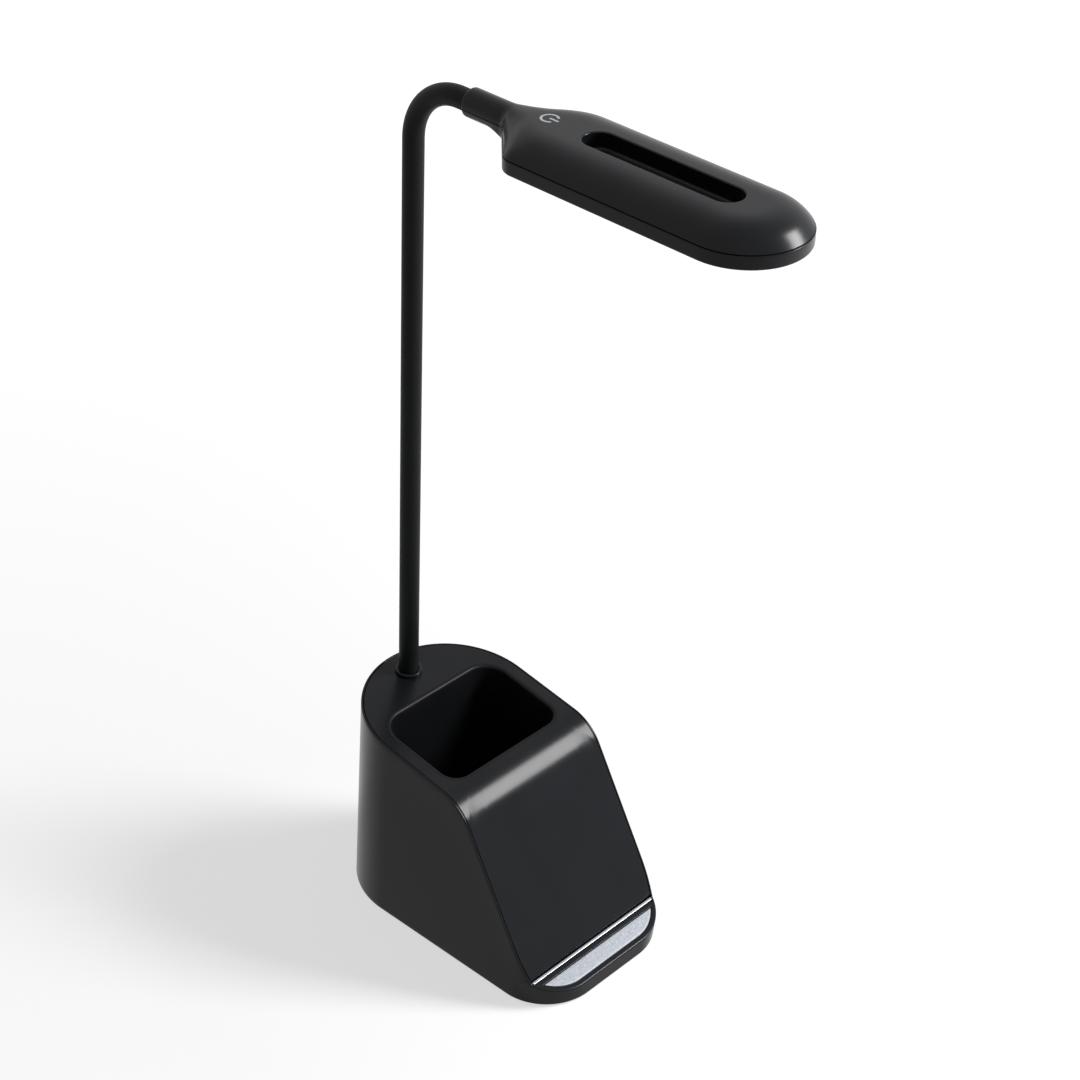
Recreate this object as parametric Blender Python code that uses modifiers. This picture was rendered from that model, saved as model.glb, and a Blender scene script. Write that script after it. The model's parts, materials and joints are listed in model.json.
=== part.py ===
"""Desk lamp with a pen holder: a base with pen cup and phone ledge, a bendable neck and an LED head.

The origin is the centre of the base's underside, +Z is up and the lamp faces -Y. Sizes are in metres.
"""
import math

import bmesh
import bpy
from mathutils import Matrix, Vector

# Clearances and overruns
GAP = 0.0003
SINK = 0.0004
BITE = 0.0002
MERGE_DISTANCE = 0.00001
OVERRUN = 0.006

# Base body
BASE_LENGTH = 0.1493
BASE_WIDTH = 0.0854
SIDE_DRAFT = math.radians(0.365)
REAR_DRAFT = math.radians(4.6)
LOFT_MARGIN = 0.0030
FLOOR_CORNER = 0.026
LIP_CORNER = 0.022
SKIRT_Z = 0.0010
WALL = 0.0022
RIM_WALL = 0.0010
LEDGE_DEPTH = 0.0128
LEDGE_HEIGHT = 0.0128
LEDGE_WALL = 0.0024
LEDGE_ANGLE = math.radians(19.3)
SLOPE_ANGLE = math.radians(62.3)
TOP_ANGLE = math.radians(9.4)
CORNER_HEIGHT = 0.0912
BEND_RADIUS = 0.0215
COVER_WALL = 0.0020
COVER_SEAT = 0.0035

# Trim on the ledge
STRIP_WIDTH = 0.0015
STRIP_DEPTH = 0.0012
STRIP_PROUD = 0.0002
GROOVE_WIDTH = 0.0010
GROOVE_DEPTH = 0.0009
PAD_SETBACK = 0.0034
PAD_INSET = 0.0027
PAD_DEPTH = 0.0012

# Snap hooks of the cover
HOOK_THICKNESS = 0.0016
HOOK_LENGTH = 0.008
HOOK_DROP = 0.009
HOOK_SHARES = (0.14, 0.54)

# Pen cup
CUP_SIDE_MARGIN = 0.0072
CUP_SETBACK = 0.0097
CUP_NECK_MARGIN = 0.0155
CUP_FRONT_CORNER = 0.010
CUP_REAR_CORNER = 0.013
CUP_WALL = 0.0018
CUP_FLOOR = 0.0020
CUP_DRAFT = math.radians(1.2)

# Underside
FOOT_PAD_THICKNESS = 0.0012
FOOT_PAD_MARGIN = 0.0008
BOTTOM_WALL = 0.0024
BALLAST_THICKNESS = 0.005
BALLAST_MARGIN = 0.0068
BALLAST_LEAD = 0.001

# Screws that close the base
BOSS_RADIUS = 0.0042
BOSS_SINK = 0.0003
BOSS_HEIGHT = 0.014
BOSS_SETBACK = 0.0287
SCREW_RADIUS = 0.0013
SCREW_HEAD_RADIUS = 0.0025
SCREW_HEAD_HEIGHT = 0.0011
SCREW_LENGTH = 0.009

# Battery and control board
CELL_RADIUS = 0.0091
CELL_SIDE_MARGIN = 0.0102
CELL_CLEARANCE = 0.004
CELL_NUB_RADIUS = 0.0030
CELL_NUB_HEIGHT = 0.0012
CRADLE_INSET = 0.0025
CRADLE_WIDTH = 0.019
CRADLE_FLOOR = 0.0016
CRADLE_HEIGHT = 0.008
BOARD_SIDE_MARGIN = 0.0147
BOARD_SETBACK = 0.00725
BOARD_THICKNESS = 0.0016
BOARD_CLEARANCE = 0.002
POST_RADIUS = 0.0022
POST_HEIGHT = 0.004
POST_INSET = 0.003
SMALL_SCREW_RADIUS = 0.0009
SMALL_SCREW_HEAD_RADIUS = 0.0019
SMALL_SCREW_HEAD_HEIGHT = 0.0012
SMALL_SCREW_LENGTH = 0.0048
CHIP_SIZE = (0.007, 0.007, 0.0012)
COIL_RADIUS = 0.0035
COIL_HEIGHT = 0.0035
PLUG_SIZE = (0.006, 0.004, 0.005)

# USB inlet in the rear wall
USB_WIDTH = 0.0090
USB_HEIGHT = 0.0034
USB_DEPTH = 0.0074
USB_SHELL = 0.0004
USB_TONGUE = 0.0007
USB_RECESS = 0.0004
USB_BOARD_WIDTH = 0.017
USB_BOARD_DEPTH = 0.010
USB_BOARD_SETBACK = 0.0036
USB_POST_HEIGHT = 0.010
USB_POST_SPREAD = 0.0055
USB_POST_RADIUS = 0.0016

# Leads inside the base
LEAD_RADIUS = 0.0011
LEAD_RISE = 0.0032
LEAD_SHIFT_SHARE = 0.65
LEAD_CORNER_SHARE = 0.88
LEAD_TURN_SHARE = 0.2
LEAD_SIDE_SHARE = 0.6
LEAD_PLUG_SHARE = 0.4
LEAD_LANE_SHARE = 0.6
NECK_LEAD_SHARES = ((0.06, 0.6), (0.22, 0.3))
USB_LEAD_SHARES = (0.2, 0.5)

# Neck
NECK_RADIUS = 0.0045
NECK_BORE = 0.0033
CORE_RADIUS = 0.0030
NECK_REAR_SETBACK = 0.02045
NECK_LEAN = math.radians(2.66)
NECK_STRAIGHT = 0.2657
NECK_BEND_RADIUS = 0.026
NECK_TAIL = 0.0052
NECK_INSERT = 0.0195
BALL_RADIUS = 0.0022
COLLAR_RADIUS = 0.0062
COLLAR_HEIGHT = 0.0016
COLLAR_SEAT = 0.0030
SOCKET_DEPTH = 0.012
ANCHOR_RADIUS = 0.0048
ANCHOR_LENGTH = 0.020
ANCHOR_BORE = 0.0018
SEAT_RADIUS = 0.009
SEAT_DEPTH = 0.008
WASHER_RADIUS = 0.0084
WASHER_THICKNESS = 0.0010
NUT_RADIUS = 0.0081
NUT_HEIGHT = 0.0045

# Where the neck bends: distance along it from the foot, and the most that each place bends
STEM_JOINTS = 5
STEM_FIRST = 0.045
STEM_MARGIN = 0.0487
STEM_LIMIT = math.radians(12)
CROWN_JOINTS = 3
CROWN_LEAD = 0.0037
CROWN_SHARE = 0.42025
CROWN_LIMIT = math.radians(14)
TURN_LIMIT = math.radians(20)
TURN_LEAD = 0.0045

# Head: u runs forward along it, v across it, w up
HEAD_PITCH = math.radians(1.8)
HEAD_HALF_WIDTH = 0.0255
HEAD_STRAIGHT = 0.0934
SHOULDER_RADIUS = 0.009
SHOULDER_ANGLE = math.radians(45)
APEX_RADIUS = 0.0050
LEAST_RADIUS = 0.0020
STUB_RADIUS = 0.006
STUB_AXIS = 0.0070
STUB_LENGTH = 0.0225
STUB_CHAMFER = 0.0012
BAND_HEIGHT = 0.0056
DOME_RISE = 0.0083
DOME_RUN = 0.0184
DOME_SHARES = (0.05, 0.13, 0.25, 0.40, 0.60, 1.0)
LEDGE_STEP = 0.0003
EDGE_INSET = 0.0004
SHELL_WALL = 0.0016
FRAME_WALL = 0.0016
SLOT_HALF_WIDTH = 0.00675
SLOT_REAR_MARGIN = 0.0180
SLOT_FRONT_MARGIN = 0.0272
SLOT_DEPTH = 0.0070
SLOT_WALL = 0.00175
CAVITY_SETBACK = 0.0010

# Light unit in the head
DIFFUSER_MARGIN = 0.0040
DIFFUSER_REAR_MARGIN = 0.006
DIFFUSER_LIP = 0.0012
DIFFUSER_FLANGE = 0.0008
DIFFUSER_CORNER = 0.006
LED_BOARD_MARGIN = 0.0065
LED_BOARD_THICKNESS = 0.0010
LED_SIZE = (0.0035, 0.0028, 0.0005)
LED_ROWS = (0.0065, 0.0150)
LED_COLUMNS = 6
LED_PITCH = 0.0150
LED_BOSS_RADIUS = 0.0024
LED_BOSS_SPREAD = 0.01075
LED_BOSS_SETBACK = 0.0245
TONGUE_HALF_WIDTH = 0.0055
TONGUE_LENGTH = 0.020
HEAD_SCREW_SPREAD = 0.0112
HEAD_SCREW_SETBACK = 0.0165
HEAD_BOSS_RADIUS = 0.0026
HEAD_SCREW_LENGTH = 0.0050
TOUCH_RADIUS = 0.0058
TOUCH_THICKNESS = 0.0008
TOUCH_SETBACK = 0.0190
SPRING_RADIUS = 0.0018
SPRING_WIRE = 0.00025
SPRING_TURNS = 4
SYMBOL_RADIUS = 0.0038
SYMBOL_STROKE = 0.0010
SYMBOL_GAP = math.radians(38)
SYMBOL_DEPTH = 0.0006
SYMBOL_BACK = 0.0006
SYMBOL_BAR = 0.0044
HEAD_LEAD_RADIUS = 0.0010
HEAD_LEAD_SHARE = 0.4

# Facets
CORNER_STEPS = 5
REAR_STEPS = 9
BEND_STEPS = 6
NOSE_STEPS = 9
ROUND_STEPS = 16
SCREW_STEPS = 10
BALL_STEPS = 6
NUT_STEPS = 6
SHOULDER_STEPS = 3
TUBE_RESOLUTION = 6
LEAD_RESOLUTION = 2
NECK_POINT_SPACING = 0.0045
LEAD_POINT_SPACING = 0.0055
SPRING_STEPS = 9

# Places that follow from the sizes above
FRONT_Y = -BASE_LENGTH / 2
REAR_Y = BASE_LENGTH / 2
FOOT_Y = FRONT_Y + LEDGE_DEPTH
CORNER_Y = FOOT_Y + (CORNER_HEIGHT - LEDGE_HEIGHT) / math.tan(SLOPE_ANGLE)
LOFT_HEIGHT = CORNER_HEIGHT + (REAR_Y - CORNER_Y) * math.tan(TOP_ANGLE) + LOFT_MARGIN
BOTTOM_Z = SKIRT_Z + GAP
BOTTOM_TOP = BOTTOM_Z + BOTTOM_WALL
BALLAST_TOP = BOTTOM_TOP + GAP + BALLAST_THICKNESS
CUP_BASE = BALLAST_TOP + GAP
NECK_Y = REAR_Y - NECK_REAR_SETBACK
CUP_WIDTH = BASE_WIDTH - 2 * CUP_SIDE_MARGIN
CUP_FRONT_Y = CORNER_Y + CUP_SETBACK
CUP_REAR_Y = NECK_Y - CUP_NECK_MARGIN
CELL_LENGTH = BASE_WIDTH - 2 * CELL_SIDE_MARGIN
CELL_Y = CUP_FRONT_Y - CELL_CLEARANCE - CELL_RADIUS
CELL_Z = BOTTOM_TOP + GAP + CRADLE_FLOOR + GAP + CELL_RADIUS
CRADLE_LENGTH = CELL_LENGTH - 2 * CRADLE_INSET
BOARD_LENGTH = BASE_WIDTH - 2 * BOARD_SIDE_MARGIN
BOARD_FRONT_Y = FOOT_Y + BOARD_SETBACK
BOARD_REAR_Y = CELL_Y - CRADLE_WIDTH / 2 - BOARD_CLEARANCE
BOARD_Y = (BOARD_FRONT_Y + BOARD_REAR_Y) / 2
BOARD_BOTTOM = BOTTOM_TOP + POST_HEIGHT + GAP
BOARD_TOP = BOARD_BOTTOM + BOARD_THICKNESS
NECK_TURN = math.pi / 2 - NECK_LEAN + HEAD_PITCH
NECK_ARC = NECK_BEND_RADIUS * NECK_TURN
NECK_END = NECK_STRAIGHT + NECK_ARC + NECK_TAIL + NECK_INSERT
STEM_STEP = (NECK_STRAIGHT - STEM_FIRST - STEM_MARGIN) / (STEM_JOINTS - 1)
CROWN_FIRST = NECK_STRAIGHT - CROWN_LEAD
CROWN_STEP = NECK_ARC * CROWN_SHARE
SHOULDER_RUN = (HEAD_HALF_WIDTH - STUB_RADIUS) / math.tan(SHOULDER_ANGLE)
SHOULDER_U = STUB_LENGTH
CORNER_U = SHOULDER_U + SHOULDER_RUN
NOSE_U = CORNER_U + HEAD_STRAIGHT
HEAD_LENGTH = NOSE_U + HEAD_HALF_WIDTH
CREST_W = BAND_HEIGHT + DOME_RISE
SLOT_FRONT_U = HEAD_LENGTH - SLOT_FRONT_MARGIN
SLOT_REAR_U = CORNER_U + SLOT_REAR_MARGIN
SLOT_FLOOR_W = CREST_W - SLOT_DEPTH
LED_BOARD_TOP = SLOT_FLOOR_W - SLOT_WALL - GAP
LED_BOARD_BOTTOM = LED_BOARD_TOP - LED_BOARD_THICKNESS

# Colours: base colour, roughness, metallic
BLACK_SATIN = ("black_satin_plastic", (0.018, 0.018, 0.021), 0.38, 0.0)
BLACK_INNER = ("black_matt_plastic", (0.012, 0.012, 0.013), 0.55, 0.0)
BLACK_RUBBER = ("black_silicone", (0.015, 0.016, 0.016), 0.60, 0.0)
CHROME = ("chrome_trim", (0.80, 0.80, 0.82), 0.12, 1.0)
SILVER = ("silver_satin_pad", (0.38, 0.40, 0.44), 0.45, 0.3)
STEEL = ("bright_steel", (0.55, 0.55, 0.56), 0.30, 1.0)
OPAL = ("opal_plastic", (0.86, 0.86, 0.84), 0.40, 0.0)
BOARD_GREEN = ("green_board", (0.02, 0.16, 0.07), 0.45, 0.0)
BOARD_WHITE = ("white_board", (0.80, 0.80, 0.78), 0.45, 0.0)
CELL_BLUE = ("cell_wrap", (0.05, 0.18, 0.42), 0.35, 0.0)
LEAD_GREY = ("lead_sheath", (0.08, 0.08, 0.08), 0.55, 0.0)
COPPER = ("copper", (0.72, 0.35, 0.18), 0.35, 1.0)
PRINT_GREY = ("pale_print", (0.60, 0.62, 0.64), 0.50, 0.0)

# Pieces with a domed surface, whose many shallow facets need the other Boolean solver
DOMED = ("head_top_shell",)


def clear_scene():
    for item in list(bpy.data.objects):
        bpy.data.objects.remove(item, do_unlink=True)


clear_scene()
LAMP = bpy.data.collections.new("desk_lamp")
CUTTERS = bpy.data.collections.new("cutters")
bpy.context.scene.collection.children.link(LAMP)
bpy.context.scene.collection.children.link(CUTTERS)


def material(finish):
    name, colour, roughness, metallic = finish
    made = bpy.data.materials.get(name)
    if made is None:
        made = bpy.data.materials.new(name)
        made.use_nodes = True
        shader = made.node_tree.nodes["Principled BSDF"]
        shader.inputs["Base Color"].default_value = (*colour, 1.0)
        shader.inputs["Roughness"].default_value = roughness
        shader.inputs["Metallic"].default_value = metallic
    return made


def place(item, finish=None, parent=None):
    """Put a new object in the lamp's collection, or among the cutters when it has no finish."""
    if finish is None:
        CUTTERS.objects.link(item)
        item.hide_render = True
        item.display_type = "WIRE"
    else:
        LAMP.objects.link(item)
        item.data.materials.append(material(finish))
    if parent is not None:
        item.parent = parent
    return item


def mesh_object(name, bm, finish=None, parent=None, smooth=False):
    bmesh.ops.recalc_face_normals(bm, faces=bm.faces)
    mesh = bpy.data.meshes.new(name)
    bm.to_mesh(mesh)
    bm.free()
    if smooth:
        mesh.shade_smooth()
        mesh.set_sharp_from_angle(angle=math.radians(40))
    return place(bpy.data.objects.new(name, mesh), finish, parent)


def curve_object(name, curve, finish=None, parent=None):
    """Turn a curve with filled ends into a welded mesh object."""
    source = bpy.data.objects.new(name, curve)
    CUTTERS.objects.link(source)
    bpy.context.view_layer.update()
    evaluated = source.evaluated_get(bpy.context.evaluated_depsgraph_get())
    mesh = bpy.data.meshes.new_from_object(evaluated)
    bpy.data.objects.remove(source, do_unlink=True)
    bpy.data.curves.remove(curve)
    bm = bmesh.new()
    bm.from_mesh(mesh)
    bpy.data.meshes.remove(mesh)
    bmesh.ops.remove_doubles(bm, verts=bm.verts, dist=MERGE_DISTANCE)
    return mesh_object(name, bm, finish, parent)


def modify(item, operation, tool):
    step = item.modifiers.new(tool.name, "BOOLEAN")
    step.operation = operation
    step.solver = "MANIFOLD" if item.name in DOMED else "EXACT"
    step.object = tool
    return item


def cut(item, *tools):
    for tool in tools:
        modify(item, "DIFFERENCE", tool)
    return item


def join(item, *tools):
    for tool in tools:
        modify(item, "UNION", tool)
    return item


def keep_inside(item, tool):
    return modify(item, "INTERSECT", tool)


def lerp(start, end, share):
    return start + (end - start) * share


def arc(centre, radius, start, end, steps):
    turns = [lerp(start, end, step / steps) for step in range(steps + 1)]
    return [(centre[0] + radius * math.cos(turn), centre[1] + radius * math.sin(turn)) for turn in turns]


def loft(name, rings, finish=None, parent=None, smooth=False):
    """A closed solid through rings that all have the same number of points."""
    bm = bmesh.new()
    rows = [[bm.verts.new(point) for point in ring] for ring in rings]
    for lower, upper in zip(rows, rows[1:]):
        for index in range(len(lower)):
            after = (index + 1) % len(lower)
            bm.faces.new((lower[index], lower[after], upper[after], upper[index]))
    bm.faces.new(rows[0])
    bm.faces.new(rows[-1])
    bmesh.ops.triangulate(bm, faces=bm.faces)
    return mesh_object(name, bm, finish, parent, smooth)


def plate(name, outline, thickness, frame, finish=None, parent=None):
    """A flat outline with a thickness, centred on its frame's XY plane."""
    curve = bpy.data.curves.new(name, "CURVE")
    curve.dimensions = "2D"
    curve.fill_mode = "BOTH"
    curve.extrude = thickness / 2
    spline = curve.splines.new("POLY")
    spline.points.add(len(outline) - 1)
    for point, (x, y) in zip(spline.points, outline):
        point.co = (x, y, 0, 1)
    spline.use_cyclic_u = True
    made = curve_object(name, curve, finish, parent)
    made.matrix_basis = frame
    return made


def level_plate(name, outline, bottom, top, finish=None, parent=None):
    middle = Matrix.Translation((0, 0, (bottom + top) / 2))
    return plate(name, outline, top - bottom, middle, finish, parent)


def side_prism(name, outline):
    """A cutter whose outline lies in the YZ plane and that runs right across the base."""
    frame = Matrix(((0, 0, 1, 0), (1, 0, 0, 0), (0, 1, 0, 0), (0, 0, 0, 1)))
    return plate(name, outline, BASE_WIDTH + 2 * OVERRUN, frame)


def box(name, low, high, finish=None, parent=None):
    low, high = Vector(low), Vector(high)
    bm = bmesh.new()
    bmesh.ops.create_cube(bm, size=1.0)
    bmesh.ops.scale(bm, vec=high - low, verts=bm.verts)
    made = mesh_object(name, bm, finish, parent)
    made.location = (low + high) / 2
    return made


def boxes(name, pairs, finish=None, parent=None):
    """Several separate blocks in one object."""
    bm = bmesh.new()
    for low, high in pairs:
        low, high = Vector(low), Vector(high)
        size = Matrix.Diagonal((*(high - low), 1.0))
        bmesh.ops.create_cube(bm, size=1.0, matrix=Matrix.Translation((low + high) / 2) @ size)
    return mesh_object(name, bm, finish, parent)


def add_cylinder(bm, radius, bottom, top, steps, at=(0, 0)):
    middle = Matrix.Translation((*at, (bottom + top) / 2))
    bmesh.ops.create_cone(bm, cap_ends=True, segments=steps, radius1=radius, radius2=radius,
                          depth=top - bottom, matrix=middle)


def cylinder(name, radius, bottom, top, frame=None, steps=ROUND_STEPS, finish=None, parent=None):
    """A cylinder along its frame's Z axis between two heights."""
    bm = bmesh.new()
    add_cylinder(bm, radius, bottom, top, steps)
    made = mesh_object(name, bm, finish, parent)
    made.matrix_basis = frame or Matrix.Identity(4)
    return made


def pins(name, places):
    """Upright cylinders in one cutter, each as (x, y, radius, bottom, top)."""
    bm = bmesh.new()
    for x, y, radius, bottom, top in places:
        add_cylinder(bm, radius, bottom, top, SCREW_STEPS, (x, y))
    return mesh_object(name, bm)


def ball(name, radius, centre):
    bm = bmesh.new()
    bmesh.ops.create_uvsphere(bm, u_segments=BALL_STEPS * 2, v_segments=BALL_STEPS, radius=radius)
    made = mesh_object(name, bm)
    made.location = centre
    return made


def turned(name, profile, frame, steps, finish, parent=None, ring=False):
    """A profile of (radius, height), outer side from top to bottom, turned about its frame's Z axis."""
    bm = bmesh.new()
    made = [bm.verts.new((radius, 0, height)) for radius, height in profile]
    for first, second in zip(made, made[1:] + made[:1] * ring):
        bm.edges.new((first, second))
    mesh = bpy.data.meshes.new(name)
    bm.to_mesh(mesh)
    bm.free()
    item = place(bpy.data.objects.new(name, mesh), finish, parent)
    item.matrix_basis = frame
    spin = item.modifiers.new("turn", "SCREW")
    spin.axis = "Z"
    spin.angle = math.tau
    spin.steps = steps
    spin.render_steps = steps
    spin.use_merge_vertices = True
    spin.merge_threshold = MERGE_DISTANCE
    spin.use_smooth_shade = True
    return item


def tube_ring(outer, inner, bottom, top):
    """The profile of a plain ring or sleeve."""
    return [(outer, top), (outer, bottom), (inner, bottom), (inner, top)]


def screws(name, profile, places, steps=0):
    """One screw at each frame, each its own object."""
    return [turned(f"{name}_{index}", profile, frame, steps or SCREW_STEPS, STEEL)
            for index, frame in enumerate(places)]


def screw_profile(radius, head_radius, head_height, length):
    """A screw that points up, with its head's outer face at zero."""
    return [(0, head_height + length), (radius, head_height + length), (radius, head_height),
            (head_radius, head_height), (head_radius, 0), (0, 0)]


def tube(name, points, radius, resolution, finish=None, parent=None):
    curve = bpy.data.curves.new(name, "CURVE")
    curve.dimensions = "3D"
    curve.bevel_depth = radius
    curve.bevel_resolution = resolution
    curve.use_fill_caps = True
    spline = curve.splines.new("POLY")
    spline.points.add(len(points) - 1)
    for point, place_at in zip(spline.points, points):
        point.co = (*place_at, 1)
    return curve_object(name, curve, finish, parent)


def smooth_route(points, spacing):
    """Points at an even spacing on a smooth curve through a route's own points."""
    route = [Vector(point) for point in points]
    ends = [2 * route[0] - route[1]] + route + [2 * route[-1] - route[-2]]
    made = []
    for before, start, end, after in zip(ends, ends[1:], ends[2:], ends[3:]):
        steps = max(1, round((end - start).length / spacing))
        for step in range(steps):
            t = step / steps
            made.append(0.5 * (2 * start + (end - before) * t
                               + (2 * before - 5 * start + 4 * end - after) * t ** 2
                               + (3 * start - before - 3 * end + after) * t ** 3))
    return made + [route[-1]]


def pivot(name, at, turn=0.0, parent=None):
    """An empty on a joint's axis, which carries what moves there."""
    empty = bpy.data.objects.new(name, None)
    LAMP.objects.link(empty)
    empty.location = at
    empty.rotation_euler = (turn, 0, 0)
    if parent is not None:
        empty.parent = parent
    return empty


def base_section(z, inset):
    """The base's outline at a height, inset by that much, from the front middle anticlockwise."""
    half = BASE_WIDTH / 2 - z * math.tan(SIDE_DRAFT) - inset
    rear = REAR_Y - z * math.tan(REAR_DRAFT) - inset
    corner = lerp(FLOOR_CORNER, LIP_CORNER, min(z / LEDGE_HEIGHT, 1)) - inset
    right = arc((half - corner, FRONT_Y + inset + corner), corner, -math.pi / 2, 0, CORNER_STEPS)
    right += arc((0, rear - half), half, 0, math.pi / 2, REAR_STEPS)
    left = [(-x, y) for x, y in reversed(right[:-1])]
    return [(x, y, z) for x, y in right + left]


def base_loft(name, inset, bottom, top, finish=None):
    levels = [bottom] + [LEDGE_HEIGHT] * (bottom < LEDGE_HEIGHT < top) + [top]
    return loft(name, [base_section(z, inset) for z in levels], finish)


def ledge_z(y, depth=0):
    return LEDGE_HEIGHT - (FOOT_Y - y) * math.tan(LEDGE_ANGLE) - depth / math.cos(LEDGE_ANGLE)


def slope_z(y, depth=0):
    return LEDGE_HEIGHT + (y - FOOT_Y) * math.tan(SLOPE_ANGLE) - depth / math.cos(SLOPE_ANGLE)


def top_z(y, depth=0):
    return CORNER_HEIGHT + (y - CORNER_Y) * math.tan(TOP_ANGLE) - depth / math.cos(TOP_ANGLE)


def saddle_line(depth, start_y):
    """The side view of the cover's surface, that deep below it, from the slope's foot to the rear."""
    tangent = BEND_RADIUS * math.tan((SLOPE_ANGLE - TOP_ANGLE) / 2)
    start = (CORNER_Y - tangent * math.cos(SLOPE_ANGLE), CORNER_HEIGHT - tangent * math.sin(SLOPE_ANGLE))
    centre = (start[0] + BEND_RADIUS * math.sin(SLOPE_ANGLE),
              start[1] - BEND_RADIUS * math.cos(SLOPE_ANGLE))
    bend = arc(centre, BEND_RADIUS - depth, SLOPE_ANGLE + math.pi / 2, TOP_ANGLE + math.pi / 2, BEND_STEPS)
    rear = REAR_Y + OVERRUN
    return [(start_y, slope_z(start_y, depth))] + bend + [(rear, top_z(rear, depth))]


def above(line):
    """The region over a line in side view."""
    roof = LOFT_HEIGHT + OVERRUN * 3
    return line + [(line[-1][0], roof), (line[0][0], roof)]


def band_of_ledge(front, rear, top, bottom):
    """A side view of a strip along the ledge, between two depths below its surface."""
    return [(front, ledge_z(front, top)), (front, ledge_z(front, bottom)),
            (rear, ledge_z(rear, bottom)), (rear, ledge_z(rear, top))]


def cover_region(name, depth, lift=0):
    """What lies over the cover's underside, behind the trim strip."""
    start = FOOT_Y + STRIP_WIDTH / 2 + lift
    return side_prism(name, above(saddle_line(depth, start)))


def boss_places():
    half = BASE_WIDTH / 2
    reach = half - WALL - BOSS_RADIUS + BOSS_SINK
    corner = math.radians(45)
    rear_y = REAR_Y - half + reach * math.sin(corner)
    front_y = FRONT_Y + BOSS_SETBACK
    places = ((reach, front_y), (reach * math.cos(corner), rear_y))
    return [(side * x, y) for x, y in places for side in (-1, 1)]


def usb_port():
    """Centre height of the USB inlet and the y of its outer face."""
    z = BOTTOM_TOP + USB_POST_HEIGHT + GAP + BOARD_THICKNESS + GAP + USB_HEIGHT / 2
    return z, REAR_Y - z * math.tan(REAR_DRAFT) - USB_RECESS


def make_base_shell():
    shell = base_loft("base_shell", 0, SKIRT_Z, LOFT_HEIGHT, BLACK_SATIN)
    front = FRONT_Y - OVERRUN
    outer = [(front, ledge_z(front))] + saddle_line(0, FOOT_Y)
    pocket = base_loft("cover_pocket", RIM_WALL, -OVERRUN, LOFT_HEIGHT + OVERRUN)
    keep_inside(pocket, cover_region("cover_pocket_side", COVER_WALL + GAP))
    hollow_y = FOOT_Y + COVER_SEAT
    hollow_side = [(front, -OVERRUN), (REAR_Y + OVERRUN, -OVERRUN),
                   (REAR_Y + OVERRUN, LOFT_HEIGHT + OVERRUN), (hollow_y, LOFT_HEIGHT + OVERRUN),
                   (hollow_y, ledge_z(hollow_y, LEDGE_WALL)), (front, ledge_z(front, LEDGE_WALL))]
    hollow = base_loft("hollow", WALL, -OVERRUN, LOFT_HEIGHT + OVERRUN * 2)
    keep_inside(hollow, side_prism("hollow_side", hollow_side))
    cut(shell, side_prism("above_saddle", above(outer)), pocket, hollow)
    bottom = BOTTOM_TOP + GAP
    bore_top = BOTTOM_Z + SCREW_HEAD_HEIGHT + SCREW_LENGTH + 2 * GAP
    places = boss_places()
    join(shell, pins("bosses", [(x, y, BOSS_RADIUS, bottom, bottom + BOSS_HEIGHT) for x, y in places]))
    cut(shell, pins("boss_bores", [(x, y, SCREW_RADIUS + GAP, 0, bore_top) for x, y in places]),
        *ledge_recesses(), usb_opening())


def ledge_recesses():
    """The slot of the trim strip, the dark groove before it and the pocket of the pad."""
    front = FOOT_Y - STRIP_WIDTH / 2
    rear = FOOT_Y + STRIP_WIDTH / 2
    pad_rear = FOOT_Y - PAD_SETBACK + GAP
    made = []
    for name, inset, (start, end, depth) in (
            ("strip_slot", RIM_WALL, (front - GROOVE_WIDTH, rear, GROOVE_DEPTH)),
            ("strip_bed", RIM_WALL, (front - GAP, rear, STRIP_DEPTH + GAP)),
            ("pad_bed", PAD_INSET - GAP, (FRONT_Y - OVERRUN, pad_rear, PAD_DEPTH))):
        bed = base_loft(name, inset, -OVERRUN, LOFT_HEIGHT)
        outline = band_of_ledge(start, end, -OVERRUN, depth)
        made.append(keep_inside(bed, side_prism(name + "_side", outline)))
    return made


def usb_opening():
    z, outer_y = usb_port()
    half = USB_WIDTH / 2 + GAP
    return box("usb_opening", (-half, outer_y - USB_DEPTH, z - USB_HEIGHT / 2 - GAP),
               (half, outer_y + OVERRUN, z + USB_HEIGHT / 2 + GAP))


def make_ledge_trim():
    strip = base_loft("trim_strip", RIM_WALL + GAP, -OVERRUN, LOFT_HEIGHT, CHROME)
    front, rear = FOOT_Y - STRIP_WIDTH / 2, FOOT_Y + STRIP_WIDTH / 2 - GAP
    outline = band_of_ledge(front, rear, -STRIP_PROUD, STRIP_DEPTH)
    keep_inside(strip, side_prism("trim_strip_side", outline))
    pad = base_loft("ledge_pad", PAD_INSET, -OVERRUN, LOFT_HEIGHT, SILVER)
    outline = band_of_ledge(FRONT_Y - OVERRUN, FOOT_Y - PAD_SETBACK, 0, PAD_DEPTH - GAP)
    keep_inside(pad, side_prism("ledge_pad_side", outline))


def cup_section(z, inset):
    """The pen cup's outline at a height; it narrows downwards."""
    draft = (top_z(CUP_FRONT_Y) - z) * math.tan(CUP_DRAFT) + inset
    half = CUP_WIDTH / 2 - draft
    front, rear = CUP_FRONT_Y + draft, CUP_REAR_Y - draft
    near, far = CUP_FRONT_CORNER - draft, CUP_REAR_CORNER - draft
    right = arc((half - near, front + near), near, -math.pi / 2, 0, CORNER_STEPS)
    right += arc((half - far, rear - far), far, 0, math.pi / 2, CORNER_STEPS)
    return [(x, y, z) for x, y in right + [(-x, y) for x, y in reversed(right)]]


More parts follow.
